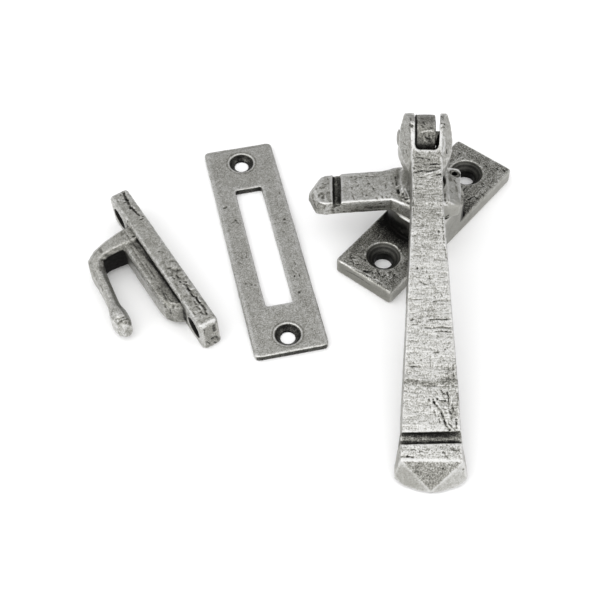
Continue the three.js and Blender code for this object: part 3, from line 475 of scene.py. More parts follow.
MARKS_HOOK = read_marks(10.5, """
d 0.55 0.22 51.9,-4.07 50.51,-3.81 49.17,-3.63 48.24,-3.6
d 0.5 0.18 48.24,-3.6 46.52,-3.35 45.38,-3.15
d 0.42 0.15 45.3,-3.66 44.1,-3.55 42.81,-3.83 41.69,-3.99
d 0.3 0.1 51.24,-2.98 50.5,-2.93
d 0.3 0.1 49.25,-2.74 49.26,-3.36
d 0.3 0.1 48.07,-2.58 47.86,-3.28
d 0.3 0.1 41.1,-4.5 40.7,-4.6
d 0.3 0.1 40.25,-3.63 40.19,-4.34
l 0.26 0.08 45.93,-3.86 44.86,-4.06
d 0.24 0.08 50.05,-1.27 49.19,-1.28
l 0.24 0.05 50.22,-1.67 49.55,-1.77
d 0.35 0.12 41.87,-0.37,10.37 41.6,-0.28,10.28
d 0.34 0.12 36.74,0.78,9.83 36.44,0.45,9.84
d 0.38 0.12 27.21,-3.44 26.94,-3.48
l 0.24 0.05 37.27,1.07,9.83 37.11,0.23,9.84
d 0.3 0.08 21.51,-2.27 20.92,-2.56
D 0.4 0.03 39.12,1.85,9.82 36.13,1.83,9.82 33.79,1.31,9.15 30.87,0.97,9.15 27.41,0.62,9.15 \
23.6,0.17,9.15 19.3,0.01,9.15 14.75,0,9.18 10.2,0,9.37
D 0.6 0 40.31,2.35,9.52 38.78,2.94,9.81
L 0.26 0 36.13,1.22,9.83 34.37,0.71,9.15 31.33,0.31,9.15
d 0.22 0.06 34.23,2.6,9.15 30.59,2.63,9.15 26.99,2.65,9.15
d 0.22 0.06 28.19,2.64,9.15 24.61,2.66,9.15 21.51,2.76,9.15
d 0.22 0.06 34.52,1.55,9.15 30.15,1.34,9.15
l 0.22 0.05 27.89,2.19,9.15 25.8,2.05,9.15
d 0.24 0.07 26.96,1.76,9.15 24.46,1.84,9.15 21.66,1.78,9.15
d 0.24 0.07 18.59,2.48,9.15 15.54,2.57,9.15 12.79,2.83,9.14
l 0.22 0.05 17.34,2.35,9.15 14.85,2.46,9.15 12.44,2.54,9.15
d 0.26 0.08 16.18,2.36,9.15 13.44,2.66,9.15 12.29,2.7,9
d 0.24 0.07 15.1,1.91,9.15 12.8,1.93,9.15 11.57,1.8,9.15
d 0.24 0.06 21.92,4.11,8.8 19.1,4.06,8.86 16.78,4.06,8.85
l 0.42 0.14 14.94,4.33,7.57 13.16,3.71,8.76 12.08,2.97,8.73
l 0.42 0.14 12.07,2.31,9.14 11.03,1.38,9.11 9.78,0,9.7
d 0.4 0.14 12.55,3.78,8.44 12.27,3.74,7.73
d 0.5 0.16 11.01,2.03,8.81 10.54,2.22,8.44
d 0.3 0.1 11.25,3.01,7.46 11.18,3.01,5.71
d 0.24 0.08 12.47,3.99,4.73 12.35,3.95,3.44
d 0.24 0.08 13.74,4.21,4.77 12.99,4.14,4.68
l 0.24 0.06 11.82,3.45,6.48 11.75,3.46,4.72
d 0.3 0.08 10.1,1.05,8.67 9.81,1.13,7.99
D 0.9 0 8.46,0,9.63 8.55,0,7.23 8.96,0.02,3.5
d 0.3 0.08 11.4,-0.81 10.28,-0.36,10.36
d 0.3 0.1 21.15,-2.8 20.59,-2.81
d 0.3 0.1 19.74,-3.14 19.16,-3.43 19.39,-4.04
d 0.36 0.12 18.11,-3 17.29,-3.04
d 0.3 0.1 17.91,-1.87 17.35,-2
d 0.36 0.12 15.67,-2.78 14.51,-2.76 14.3,-3.43
l 0.28 0.07 15,-2.73 13.99,-2.96
d 0.36 0.12 15.2,-3.61 14.67,-4.05
d 0.45 0.15 13.75,-3.68 12.38,-3.41 11.63,-3.61
d 0.4 0.13 11.17,-3.48 9.98,-3.32 9.41,-3.6
d 0.5 0.16 8.83,-3.89 7.79,-3.74 6.68,-3.91
d 0.42 0.14 6.68,-3.91 5.41,-4.11 4.04,-4.13
d 0.4 0.13 7.94,-2.81 6.98,-2.89
d 0.36 0.12 6.11,-2.71 5.01,-3
d 0.36 0.12 4.03,-2.77 2.94,-3.06
d 0.36 0.12 3.82,-3.66 2.62,-3.77
l 0.3 0.08 7.95,-4.3 7.24,-4.22
l 0.3 0.08 8.42,-3.37 7.34,-3.26
l 0.28 0.06 8.9,-2.86 7.27,-2.45
l 0.28 0.06 6.16,-3.33 4.83,-3.5
d 0.24 0.08 5.29,-1.08 4.17,-1.07
d 0.26 0.08 15.65,-1.39 14.95,-1.5
L 0.5 0 0.35,-0.64 0.23,-1.57,10.44 0.18,-2.71,10.4 0.09,-3.84,10.34 -0.01,-4.93,10.04
L 0.3 0 -0.22,-0.99,10.09 -0.35,-1.78,9.99
D 0.7 0.06 -0.4,-3.83,8.66 -0.4,-3.86,6.5
D 0.8 0.06 -0.4,-3.03,3.71 -0.4,-3.9,3.47 -0.4,-4.7,1.67
d 0.35 0.1 -0.4,-3.25,1.63 -0.4,-3.58,0.88
d 0.26 0.08 -0.4,-1.15,8.99 -0.4,-0.98,6.8
d 0.26 0.08 -0.4,-1.19,3.34 -0.4,-1.91,1.98
d 0.34 0.1 15.82,16.49,8.23 15.28,15.8,8.61 15.15,14.99,8.58 15.15,14.28,8.3
d 0.28 0.08 14.51,15.51,8.49 13.96,15.73,8.14
d 0.34 0.1 14.23,14.37,8.11 13.55,14.71,7.81
d 0.28 0.07 14.26,17,6.46 14.22,16.99,4.15
l 0.3 0.05 13.57,15.64,7.8 13.25,15.81,7.22
l 0.3 0.05 17.6,17.24,5.8 15.88,17.29,7.49
d 0.2 0.04 18.81,15.78,8.74 18.89,13.56,7.8
d 0.2 0.04 18.41,16.36,8.3 17.5,14.15,8.38
d 0.2 0.04 17.76,16.74,8 16.33,14.4,8.61
d 0.2 0.04 20.49,14.68,8.61 20.59,13.29,7.45
d 0.2 0.04 18.29,17.18,2.99 14.37,16.75,7.53
L 0.3 0 35.54,9.03,8.63 35.82,7.61,8.98 35.3,6.11,8.66 34.95,5.04,8.17
L 0.3 0 35.23,10.59,8.51 35.6,9.29,8.67
d 0.24 0.06 27.92,15.01,7.9 26.47,15.13,7.86
d 0.24 0.06 29.66,14.33,8.56 28.73,14.18,8.6
d 0.24 0.06 34.32,12.87,8.95 33.29,12.98,8.84
D 0.7 0 38.22,10.11,9.33 37.13,10.23,9.28
""")

# ------------------------------------------------------------ mesh plumbing
# Paint layers that the pewter shader reads, with the value where a piece gives none.
LAYERS = {"edge": 0, "cav": 0, "tone": 0, "mark": 0, "light": 0, "brush": 0, "grain": 1}


def read_vectors(collection, key):
    values = np.empty(len(collection) * 3, np.float32)
    collection.foreach_get(key, values)
    return values.reshape(-1, 3).astype(float)


def read_edges(mesh):
    """Vertex pairs of the edges, and how many edges meet at each vertex."""
    ends = np.empty(len(mesh.edges) * 2, np.int32)
    mesh.edges.foreach_get("vertices", ends)
    count = np.bincount(ends, minlength=len(mesh.vertices))
    return ends.reshape(-1, 2), np.maximum(count, 1).astype(float)


def neighbour_mean(points, edges, count):
    a, b = edges.T
    size = len(points)
    columns = [
        (np.bincount(a, column[b], size) + np.bincount(b, column[a], size)) / count
        for column in points.T
    ]
    return np.stack(columns, 1)


def publish(mesh, node, body, finish, local, layers):
    """Paints a mesh made in mm, scales it to metres and puts it in place of a CAD node."""
    places = mesh.attributes.new("lc", "FLOAT_VECTOR", "POINT")
    places.data.foreach_set("vector", local.astype(np.float32).ravel())
    for key, default in LAYERS.items():
        layer = mesh.attributes.new(key, "FLOAT", "POINT")
        values = np.full(len(local), layers.get(key, default), np.float32)
        layer.data.foreach_set("value", values)
    mesh.transform(Matrix.Scale(MM, 4))
    mesh.polygons.foreach_set("use_smooth", [True] * len(mesh.polygons))
    mesh.materials.clear()
    mesh.materials.append(FINISHES[finish])
    piece = bpy.data.objects.new(mesh.name, mesh)
    bpy.context.scene.collection.objects.link(piece)
    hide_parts(node)
    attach(piece, body)


class Skin:
    """A dense skin over a CAD node; points are in the scene, in mm."""

    def __init__(self, node, axes, voxel=VOXEL):
        self.node, self.axes = node, axes
        source = bpy.data.meshes.new_from_object(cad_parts[node])
        origin, turn = FRAMES[axes]
        turn = Matrix([list(map(float, row)) for row in turn]).to_4x4()
        shift = Matrix.Translation([-float(v) for v in origin])
        source.transform(turn.transposed() @ shift @ Matrix.Scale(1000, 4))
        source.materials.clear()
        bm = bmesh.new()
        bm.from_mesh(source)
        bmesh.ops.remove_doubles(bm, verts=bm.verts, dist=1e-4)
        bm.to_mesh(source)
        bm.free()
        # The remesh grid lies along the piece's own axes.
        holder = bpy.data.objects.new("tmp_" + node, source)
        bpy.context.scene.collection.objects.link(holder)
        remesh = holder.modifiers.new("r", "REMESH")
        remesh.mode = "VOXEL"
        remesh.voxel_size = voxel
        remesh.adaptivity = 0
        depsgraph = bpy.context.evaluated_depsgraph_get()
        self.mesh = bpy.data.meshes.new_from_object(holder.evaluated_get(depsgraph))
        bpy.data.objects.remove(holder)
        self.points = to_scene(read_vectors(self.mesh.vertices, "co"), axes)
        self.edges, self.count = read_edges(self.mesh)

    def _pull(self):
        return neighbour_mean(self.points, self.edges, self.count) - self.points

    def smooth(self, times):
        for _ in range(times):
            self.points = self.points + 0.5 * self._pull()

    def soften(self, times, weight):
        """Smooths without shrinking; weight is 0 to 1 for each vertex."""
        weight = weight[:, None]
        for _ in range(times):
            self.points = self.points + 0.5 * weight * self._pull()
            self.points = self.points - 0.52 * weight * self._pull()

    def normals(self):
        self.mesh.vertices.foreach_set("co", self.points.astype(np.float32).ravel())
        self.mesh.update()
        return read_vectors(self.mesh.vertex_normals, "vector")

    def local(self):
        return to_local(self.points, self.axes)

    def local_normals(self):
        return self.normals() @ FRAMES[self.axes][1]

    def lift(self, amount):
        self.points = self.points + self.normals() * amount[:, None]

    def curvature(self, radius):
        """Height over the smoothed surface, mm: over 0 on ridges, under 0 in hollows."""
        normals = self.normals()
        even = self.points.copy()
        for _ in range(max(2, int(round((radius / (VOXEL * 0.62)) ** 2)))):
            even = 0.5 * even + 0.5 * neighbour_mean(even, self.edges, self.count)
        return ((self.points - even) * normals).sum(1)

    def build(self, name, body, slot, finish, soft=0.0, **layers):
        """soft: share of the edge wear to leave out."""
        sharp = self.curvature(0.45)
        wide = self.curvature(1.1)
        edge = np.clip(sharp / 0.11, 0, 1) * 0.75 + np.clip(wide / 0.35, 0, 1) * 0.35
        layers["edge"] = edge * (1 - soft)
        layers["cav"] = np.clip(-sharp / 0.11, 0, 1) * 0.7 + np.clip(-wide / 0.3, 0, 1) * 0.5
        self.mesh.name = name
        publish(self.mesh, self.node, body, finish, self.local(), layers)


# --------------------------------------------------------------- materials
def set_ramp(node, stops):
    """stops: (position, RGBA) pairs."""
    elements = node.color_ramp.elements
    while len(elements) < len(stops):
        elements.new(0.5)
    for element, (position, color) in zip(elements, stops):
        element.position = position
        element.color = color


class Graph:
    """Short calls for adding and linking shader nodes."""

    def __init__(self, owner):
        owner.use_nodes = True
        self.tree = owner.node_tree
        self.tree.nodes.clear()

    def add(self, kind, inputs=None, **props):
        node = self.tree.nodes.new(kind)
        for key, value in props.items():
            setattr(node, key, value)
        for key, value in (inputs or {}).items():
            self.put(node.inputs[key], value)
        return node

    def put(self, socket, value):
        if isinstance(value, bpy.types.NodeSocket):
            self.tree.links.new(value, socket)
        else:
            socket.default_value = value

    def math(self, operation, *values, clamp=False):
        inputs = dict(enumerate(values))
        return self.add("ShaderNodeMath", inputs, operation=operation, use_clamp=clamp).outputs[0]

    def centred(self, value):
        return self.math("SUBTRACT", value, 0.5)

    def add_share(self, total, value, share):
        return self.math("MULTIPLY_ADD", value, share, total)

    def attribute(self, name, output="Fac"):
        return self.add("ShaderNodeAttribute", attribute_name=name).outputs[output]

    def noise(self, vector, scale, detail, rough, distortion=0.0):
        inputs = {"Vector": vector, "Scale": scale, "Detail": detail, "Roughness": rough,
                  "Distortion": distortion}
        return self.add("ShaderNodeTexNoise", inputs).outputs["Fac"]

    def scaled(self, vector, scale=(1, 1, 1), shift=(0, 0, 0)):
        inputs = {"Vector": vector, "Scale": scale, "Location": shift}
        return self.add("ShaderNodeMapping", inputs).outputs[0]

    def range(self, value, start, end, low=0.0, high=1.0):
        inputs = {"Value": value, "From Min": start, "From Max": end,
                  "To Min": low, "To Max": high}
        return self.add("ShaderNodeMapRange", inputs).outputs[0]


# Metal brightness by tone, from black patina to rubbed metal.
PATINA = [(0.0, 0.006), (0.2, 0.033), (0.4, 0.10), (0.6, 0.215), (0.8, 0.375), (1.0, 0.62)]
PATINA_TINT = (1.0, 0.984, 0.885)  # fades to white in the bright tones
HOLLOW_DARK = 0.55  # how much hollows darken
MARK_DARK = 0.7  # how much marks darken
RUB_AND_HIGHLIGHT_BRIGHT = 0.42  # how much rubbed spots and painted highlights brighten


def patina_stop(position, value):
    whiten = min(1.0, max(0.0, (position - 0.7) / 0.3)) * 0.8
    return position, tuple(value * (c + (1.0 - c) * whiten) for c in PATINA_TINT) + (1,)


def pewter(name, tone, big, mid, fine, specks, ao, wear=0.4, brush=0.0, ao_reach=0.0035,
           rough=(0.55, 0.36)):
    """Old pewter finish over steel: dark patina, rubbed bright where edges wear it.

    tone: mean brightness. big, mid, fine: strength of the mottling by size. specks: dark
    spots. ao: painted shade in corners and hollows, from ambient occlusion within ao_reach metres.
    wear: brightening of edges.
    brush: strength of fine lines. rough: roughness at dark and bright tones.
    """
    material = bpy.data.materials.new(name)
    g = Graph(material)
    place = g.attribute("lc", "Vector")
    layer = {key: g.attribute(key) for key in LAYERS if brush or key != "brush"}
    grain = layer["grain"]
    noise_big = g.noise(place, scale=0.16, detail=3.0, rough=0.55)
    noise_mid = g.noise(g.scaled(place), scale=0.8, detail=4.0, rough=0.6, distortion=0.4)
    noise_fine = g.noise(g.scaled(place, shift=(7, 3, 1)),
                         scale=3.1, detail=3.0, rough=0.68, distortion=0.5)
    spots = g.noise(g.scaled(place, shift=(19, 5, 7)), scale=1.5, detail=2.0, rough=0.5)
    spots = g.range(spots, start=0.62, end=0.72)

    # Tone: patches, brush lines and specks, then wear and shade.
    total = g.math("ADD", layer["tone"], tone)
    total = g.add_share(total, g.centred(noise_big), big * 2)
    total = g.add_share(total, g.math("MULTIPLY", g.centred(noise_mid), grain), mid * 2)
    total = g.add_share(total, g.math("MULTIPLY", g.centred(noise_fine), grain), fine * 2)
    if brush:
        lines = g.noise(g.scaled(place, (0.5, 3.8, 1.2)),
                        scale=1.0, detail=3.0, rough=0.68, distortion=0.35)
        cross_lines = g.noise(g.scaled(place, (4.6, 1.6, 1.2), (3, 9, 2)),
                              scale=1.0, detail=2.0, rough=0.6, distortion=0.2)
        both = g.math("ADD", g.centred(lines), g.math("MULTIPLY", g.centred(cross_lines), 0.7))
        total = g.add_share(total, g.math("MULTIPLY", both, layer["brush"]), brush * 2)
    total = g.add_share(total, g.math("MULTIPLY", spots, grain), -specks)
    total = g.add_share(total, layer["cav"], -HOLLOW_DARK)
    patchy = g.range(noise_mid, start=0.3, end=0.6, low=0.45, high=1.15)
    total = g.add_share(total, g.math("MULTIPLY", layer["edge"], patchy), wear)
    total = g.add_share(total, layer["mark"], -MARK_DARK)
    total = g.add_share(total, layer["light"], RUB_AND_HIGHLIGHT_BRIGHT)
    # Painted shade: ambient occlusion darkens corners and hollows.
    occlusion = g.add("ShaderNodeAmbientOcclusion", {"Distance": ao_reach},
                      samples=8, only_local=True)
    shade = g.math("SUBTRACT", 1.0, occlusion.outputs["AO"], clamp=True)
    total = g.add_share(total, g.math("POWER", shade, 0.9), -ao * 1.3)
    total = g.math("MAXIMUM", g.math("MINIMUM", total, 1.0), 0.0)

    color = g.add("ShaderNodeValToRGB", {"Fac": total})
    set_ramp(color, [patina_stop(*stop) for stop in PATINA])

    # Surface relief from the same noises.
    height = g.math("ADD", g.math("MULTIPLY", noise_mid, 0.6), g.math("MULTIPLY", noise_fine, 0.6))
    if brush:
        both = g.math("MULTIPLY", g.math("ADD", lines, cross_lines), layer["brush"])
        height = g.add_share(height, both, 0.8)
    height = g.add_share(height, spots, -0.35)
    bump = g.add("ShaderNodeBump", {
        "Strength": g.math("MULTIPLY", grain, 0.5, clamp=True),
        "Distance": 0.00012,
        "Height": height,
    })
    roughness = g.range(total, start=0.15, end=0.9, low=rough[0], high=rough[1])
    surface = g.add("ShaderNodeBsdfPrincipled", {
        "Base Color": color.outputs["Color"],
        "Metallic": g.range(total, start=0.05, end=0.5, low=0.6, high=0.97),
        "Specular IOR Level": g.range(total, start=0.05, end=0.3, low=0.15, high=0.5),
        "Roughness": g.add_share(roughness, g.centred(noise_fine), 0.2),
        "Normal": bump.outputs["Normal"],
    })
    g.add("ShaderNodeOutputMaterial", {"Surface": surface.outputs["BSDF"]})
    return material


FINISHES = {
    "handle": pewter("pewter_handle_worn", tone=0.75, brush=0.46, big=0.1, mid=0.16, fine=0.78,
                     specks=0.12, ao=0.4, wear=0.3),
    "block": pewter("pewter_block", tone=0.78, big=0.12, mid=0.2, fine=0.6, specks=0.14,
                    ao=0.45, wear=0.26),
    "base": pewter("pewter_base", tone=0.66, big=0.12, mid=0.22, fine=1.25, specks=0.14,
                   ao=0.6, ao_reach=0.006, wear=0.22),
    "mortice": pewter("pewter_mortice", tone=0.825, big=0.09, mid=0.16, fine=0.62, specks=0.1,
                      ao=0.35, wear=0.13),
    "hook": pewter("pewter_hook", tone=0.79, big=0.12, mid=0.18, fine=0.5, specks=0.1,
                   ao=0.5, wear=0.24),
    "pin": pewter("post_steel_worn", tone=0.66, big=0.08, mid=0.12, fine=0.2, specks=0.08,
                  ao=0.3, wear=0.3),
    "spring": pewter("spring_steel_oiled", tone=0.5, big=0.05, mid=0.08, fine=0.1, specks=0.05,
                     ao=0.2, rough=(0.4, 0.25)),
    "screw": pewter("screw_steel_black", tone=0.25, big=0.05, mid=0.06, fine=0.08, specks=0.05,
                    ao=0.3, rough=(0.45, 0.3)),
}


# -------------------------------------------------------------- cast pieces
# Masks run 0 to 1 over a region. Positions are in the piece's own axes, mm;
# lifts are in mm, tones in steps of the patina scale.
def make_handle():
    skin = Skin("handle", "lever", VOXEL * 0.86)
    head = fade(-skin.local()[:, 1], 9, 15)
    skin.smooth(2)
    skin.soften(8, 0.1 + 0.5 * head)
    local, normal = skin.local(), skin.local_normals()
    x, y, z = local.T
    norm_x, _, norm_z = normal.T
    along, off = -y, np.abs(x)  # distance from the pivot, and from the middle line

    face = ramp(norm_z, 0.75, 0.93) * ramp(z, 3.0, 4.5)
    shaft = ramp(along, 11, 14)
    groove = band(along, 85.9, 89.0, 0.35) * fade(z, 5.15, 5.5) * ramp(z, 1.0, 2.2)
    slot = fade(off, 3.0, 3.25) * ramp(y, -6.6, -6.1)

    # Relief: slow waves, lines across the shaft, cast grain, pits and marks.
    low = 0.10 * fbm(local, 0.13, 2, seed=3) + 0.06 * fbm(local, 0.45, 2, seed=5)
    across = fbm(local, (0.10, 0.75, 0.2), 3, seed=11) * 0.07
    across = across + fbm(local, (0.22, 1.9, 0.4), 2, seed=12) * 0.045
    cast = 0.032 * fbm(local, 1.5, 2, seed=21)
    pitted = pits(local, 0.6, 0.13, 0.36, seed=31)
    dark, light, lift = draw_marks(local, MARKS_HANDLE)

    # The inner side of the ear at +x is brought in to narrow the slot.
    ear_side = ramp(-norm_x, 0.75, 0.95) * band(x, 3.1, 4.8, 0.05) * band(z, -6.5, 3.5, 0.5)
    ear_side = ear_side * ramp(y, -5.8, -5.4) * fade(y, -1.4, 0.2)
    skin.lift(ear_side * np.clip(x - 3.05, 0, 1.5))
    rough = face * ramp(x, 1.8, 4.2) * band(along, 69, 83, 2.0) * 0.10
    rough = rough * fbm(local, 1.1, 3, seed=24)
    skin.lift(low + face * shaft * across + cast + rough - 0.1 * pitted + lift)

    # Face and ears.
    crater = face * ramp(x, 1.5, 4.5) * band(along, 68, 82, 2.0)
    tone = 0.06 * face * shaft - 0.06 * face * (1 - shaft) - 0.12 * crater
    tone = tone - 0.09 * face * band(along, 11, 30, 5)
    ears = fade(along, 4, 9) * ramp(norm_z, 0.2, 0.6) * ramp(off, 3.2, 3.6)
    tone = tone + (0.06 - 0.05 * ramp(x, 3.0, 3.6)) * ears
    tone = tone + 0.07 * fade(along, 9, 16) * fade(norm_z, 0.5, 0.75) * ramp(off, 4.4, 4.8)
    # Painted highlight along the inner rims of the ear tops, beside the slot.
    light = np.maximum(light, 0.55 * ears * fade(off, 3.7, 4.5) * ramp(along, -2, 4))
    tone = tone + 0.05 * face + 0.06 * ramp(along, 26, 46) * face - 0.05 * face * ramp(along, 89, 90)

    # Dark veins where a noise crosses zero.
    veins = face * ramp(x, 0.2, 2.6) * band(along, 66, 84.5, 2.5)
    veins = veins * fade(np.abs(fbm(local, (0.55, 0.42, 0.5), 2, seed=26)), 0.02, 0.09)
    thin_veins = 0.7 * face * ramp(noise(local, 0.16, seed=27), 0.1, 0.5)
    thin_veins = thin_veins * fade(np.abs(fbm(local, (0.8, 1.3, 0.8), 2, seed=28)), 0.02, 0.08)
    veins = veins + thin_veins * ramp(along, 30, 44) * fade(along, 83, 85)
    dark = np.maximum(dark, 0.42 * veins)

    # Faceted free end: a triangle on top between sloping facets. The triangle gets painted shade,
    # the facets painted light (more on the +x side), and the end edge and the triangle's seam
    # painted highlights.
    triangle = off / 7.5 + (along - 93.4) / 6.4
    inside = ramp(norm_z, 0.3, 0.5) * ramp(along, 93.1, 93.4) * fade(triangle, 0.93, 1.0)
    facet = ramp(along, 92.6, 93.6) * (1 - inside)
    tone = tone - 0.15 * inside + 0.05 * facet + 0.07 * facet * ramp(x, 1, 4)
    seam_highlight = ramp(along, 93.2, 93.5) * fade(np.abs(triangle - 1.03), 0.015, 0.06)
    seam_highlight = seam_highlight * ramp(norm_z, 0.3, 0.5)
    end_highlight = band(along, 92.75, 93.3, 0.15) * ramp(norm_z, 0.8, 0.95) * (off < 7.6)
    light = np.maximum(light, 0.35 * end_highlight)
    light = np.maximum(light, 0.10 * seam_highlight)

    # Slot between the ears, groove across the end, and the flanks. Painted shade inside the slot, on
    # its walls and in the groove.
    cheeks = ramp(np.abs(norm_x), 0.75, 0.95) * (off < 4.7) * ramp(y, -6.4, -5.8)
    tone = tone - 0.6 * np.maximum(slot, cheeks)
    tone = tone - groove * (0.42 - 0.17 * band(along, 87.0, 88.5, 0.3))
    tone = tone + groove * 0.10 * fbm(local, (1.6, 0.4, 0.6), 2, seed=29)
    flank = fade(norm_z, 0.55, 0.8) * (1 - facet)
    grain = (1 - 0.6 * flank) * (1 - 0.65 * facet)
    grain = grain * (1 + 0.1 * inside + 0.4 * face * band(along, 89.3, 92.6, 0.3))
    # Painted shade on the sides of the shaft that face -x.
    tone = tone - 0.06 * ramp(-norm_x, 0.45, 0.8) * shaft
    skin.build("handle_lever", "lever", "pewter_handle", "handle",
               mark=np.maximum(pitted * 0.45, dark) * (1 - 0.5 * flank), light=light,
               brush=face * (0.3 + 0.7 * shaft) * (1 - facet), tone=tone, grain=grain)


def make_block():
    tongue_edge = 17.4  # z of the tongue's upper edge
    groove = (-26.45, -24.45)  # x of the groove across the tongue
    skin = Skin("tongue_block", "block")
    hub = ramp(skin.local()[:, 0], -14, -9)
    skin.smooth(2)
    skin.soften(5, 0.1 + 0.4 * hub)
    local, normal = skin.local(), skin.local_normals()
    x, y, z = local.T
    norm_x, norm_y, norm_z = normal.T
    top = ramp(norm_z, 0.6, 0.9)

    low = 0.09 * fbm(local, 0.16, 2, seed=43) + 0.06 * fbm(local, 0.5, 2, seed=45)
    cast = 0.035 * fbm(local, 1.3, 2, seed=46)
    pitted = pits(local, 0.6, 0.12, 0.36, seed=47)
    dark, light, lift = draw_marks(local, MARKS_BLOCK)
    skin.lift(low + cast - 0.09 * pitted + lift)
    # The standing knuckle is thickened on both sides, to fill the handle's slot.
    eye = ramp(y, 3.6, 4.6) * ramp(z, 17.9, 18.6) * ramp(np.abs(norm_x), 0.6, 0.9)
    eye = eye * (np.abs(x + 1.1) < 3.4)
    skin.lift(eye * np.where(x < -1.1, 0.36, 0.12 + 0.26 * fade(z, 19.0, 23.0)))

    # Tongue side, and painted shade on the bevel along the top of the -y side.
    side = ramp(-norm_y, 0.5, 0.85) * fade(x, -12, -8)
    front = ramp(-norm_y, 0.15, 0.5) * fade(x, 1.0, 2.5)
    low_side = 0.12 * ramp(tongue_edge - z, 0.8, 2.8) * ramp(x, -25, -20)
    tone = 0.08 * top + 0.05 * side - side * low_side
    bevel_shade = band(norm_z, 0.3, 0.74, 0.12) * ramp(-norm_y, 0.3, 0.5) * fade(x, 1.0, 2.5)
    tone = tone - 0.22 * bevel_shade * (z > 15.5) * (z < 18)

    # Knuckle and its cheeks: the knuckle is darker, with painted shade on its front beside the
    # handle's crotch and on its cheeks inside the handle's slot.
    knuckle = ramp(y, 4.0, 5.0) * fade(np.abs(x + 1.2), 2.3, 2.8) * ramp(z, 19.5, 21)
    tone = tone - knuckle * (0.28 + 0.08 * fade(y, 7.0, 9.2) + 0.3 * fade(y, 5.0, 6.0))
    knuckle_cheek_shade = ramp(y, 4.0, 5.0) * ramp(np.abs(norm_x), 0.8, 0.95) * ramp(z, 20, 22)
    tone = tone - 0.45 * knuckle_cheek_shade
    grain = 1 - 0.55 * ramp(x, -6, -2) * (1 - knuckle)

    # Groove across the tongue, with painted shade in it and a painted highlight along the rim on its
    # +x side.
    slot = band(x, *groove, 0.1) * band(z, 16.2, 17.2, 0.12) * ramp(norm_z, -0.2, 0.2)
    tone = tone - (0.36 - 0.14 * band(x, -25.9, -25.3, 0.12)) * slot
    light = np.maximum(light, 0.35 * band(x, -24.15, -23.9, 0.08) * top * (z > 17))

    # The +x, -y corner under the top is plainer.
    plain = ramp(x, 1.5, 3.0) * fade(y, -5.5, -4.0) * fade(z, 17.0, 17.6)
    tone = tone - 0.03 * plain
    skin.build("tongue_block_cast", "block", "pewter_handle", "block",
               mark=np.maximum(pitted * 0.4, dark), light=light * (1 - 0.7 * plain),
               tone=tone, grain=grain * (1 - 0.6 * plain),
               soft=np.maximum(plain * 0.85, 0.72 * front))


def make_base():
    skin = Skin("base_plate", "base")
    skin.smooth(2)
    local, normal = skin.local(), skin.local_normals()
    x, y, z = local.T
    _, norm_y, norm_z = normal.T
    under = ramp(-norm_z, 0.5, 0.9)
    top = ramp(norm_z, 0.7, 0.95)

    low = 0.06 * fbm(local, 0.15, 2, seed=63) + 0.03 * fbm(local, 0.6, 2, seed=65)
    cast = 0.05 * fbm(local, 1.5, 2, seed=66)
    pitted = pits(local, 0.7, 0.16, 0.38, seed=67)
    dark, light, lift = draw_marks(local, MARKS_BASE)
    coarse = top * (ramp(-y, 22, 26) + 0.5 * ramp(y, 6, 12)) * 0.06
    coarse = coarse * fbm(local, 0.9, 3, seed=68)
    relief = low + cast * (0.2 + 0.8 * top) + coarse - 0.09 * pitted * top + lift
    skin.lift(relief * (1 - under))

    # Shade around the central boss, on its wall and beside it.
    away = np.hypot(x, y + 0.5)
    boss = away < 11.2
    tone = -0.02 * top - 0.34 * fade(away, 10.6, 17.5) * fade(y, -2, 4) * top * (z < 6)
    wall = boss * fade(norm_z, 0.3, 0.6) * band(z, 4.6, 12.2, 0.3)
    tone = tone - 0.34 * wall * fade(x, 1.0, 3.0) * fade(y, -3, 0)
    beside = ramp(x, 7.6, 8.6) * ramp(y, 3.0, 3.5) * band(z, 5.0, 12.0, 0.3) * (away > 9.5)
    tone = tone - 0.5 * beside

    # Countersunk holes: painted shade inside, lighter on two rings of the cone, and a painted
    # highlight on the rim.
    for hole_y in (19.8, -19.8):
        radius = np.hypot(x, y - hole_y)
        cone = band(radius, 3.0, 3.5, 0.2) + 0.9 * band(radius, 3.95, 4.2, 0.12)
        tone = tone - fade(radius, 4.5, 4.74) * (0.36 - 0.2 * cone)
        light = np.maximum(light, 0.36 * band(radius, 4.74, 5.0, 0.12) * ramp(z, 4.4, 4.7))
    # Sides a little lighter than the top, and painted shade on the low sides that face -y.
    tone = tone + 0.04 * (1 - top) - 0.10 * ramp(-norm_y, 0.6, 0.9) * (z < 5)
    streaks = fbm(local, (1.5, 0.28, 0.6), 3, seed=69) * top * (z < 6)
    skin.build("base_plate_cast", "base", "pewter_plate", "base",
               mark=np.maximum(pitted * 0.5 * top, dark), light=light,
               tone=tone + 0.20 * streaks, grain=0.12 + 0.88 * top * (1 - 0.5 * boss))


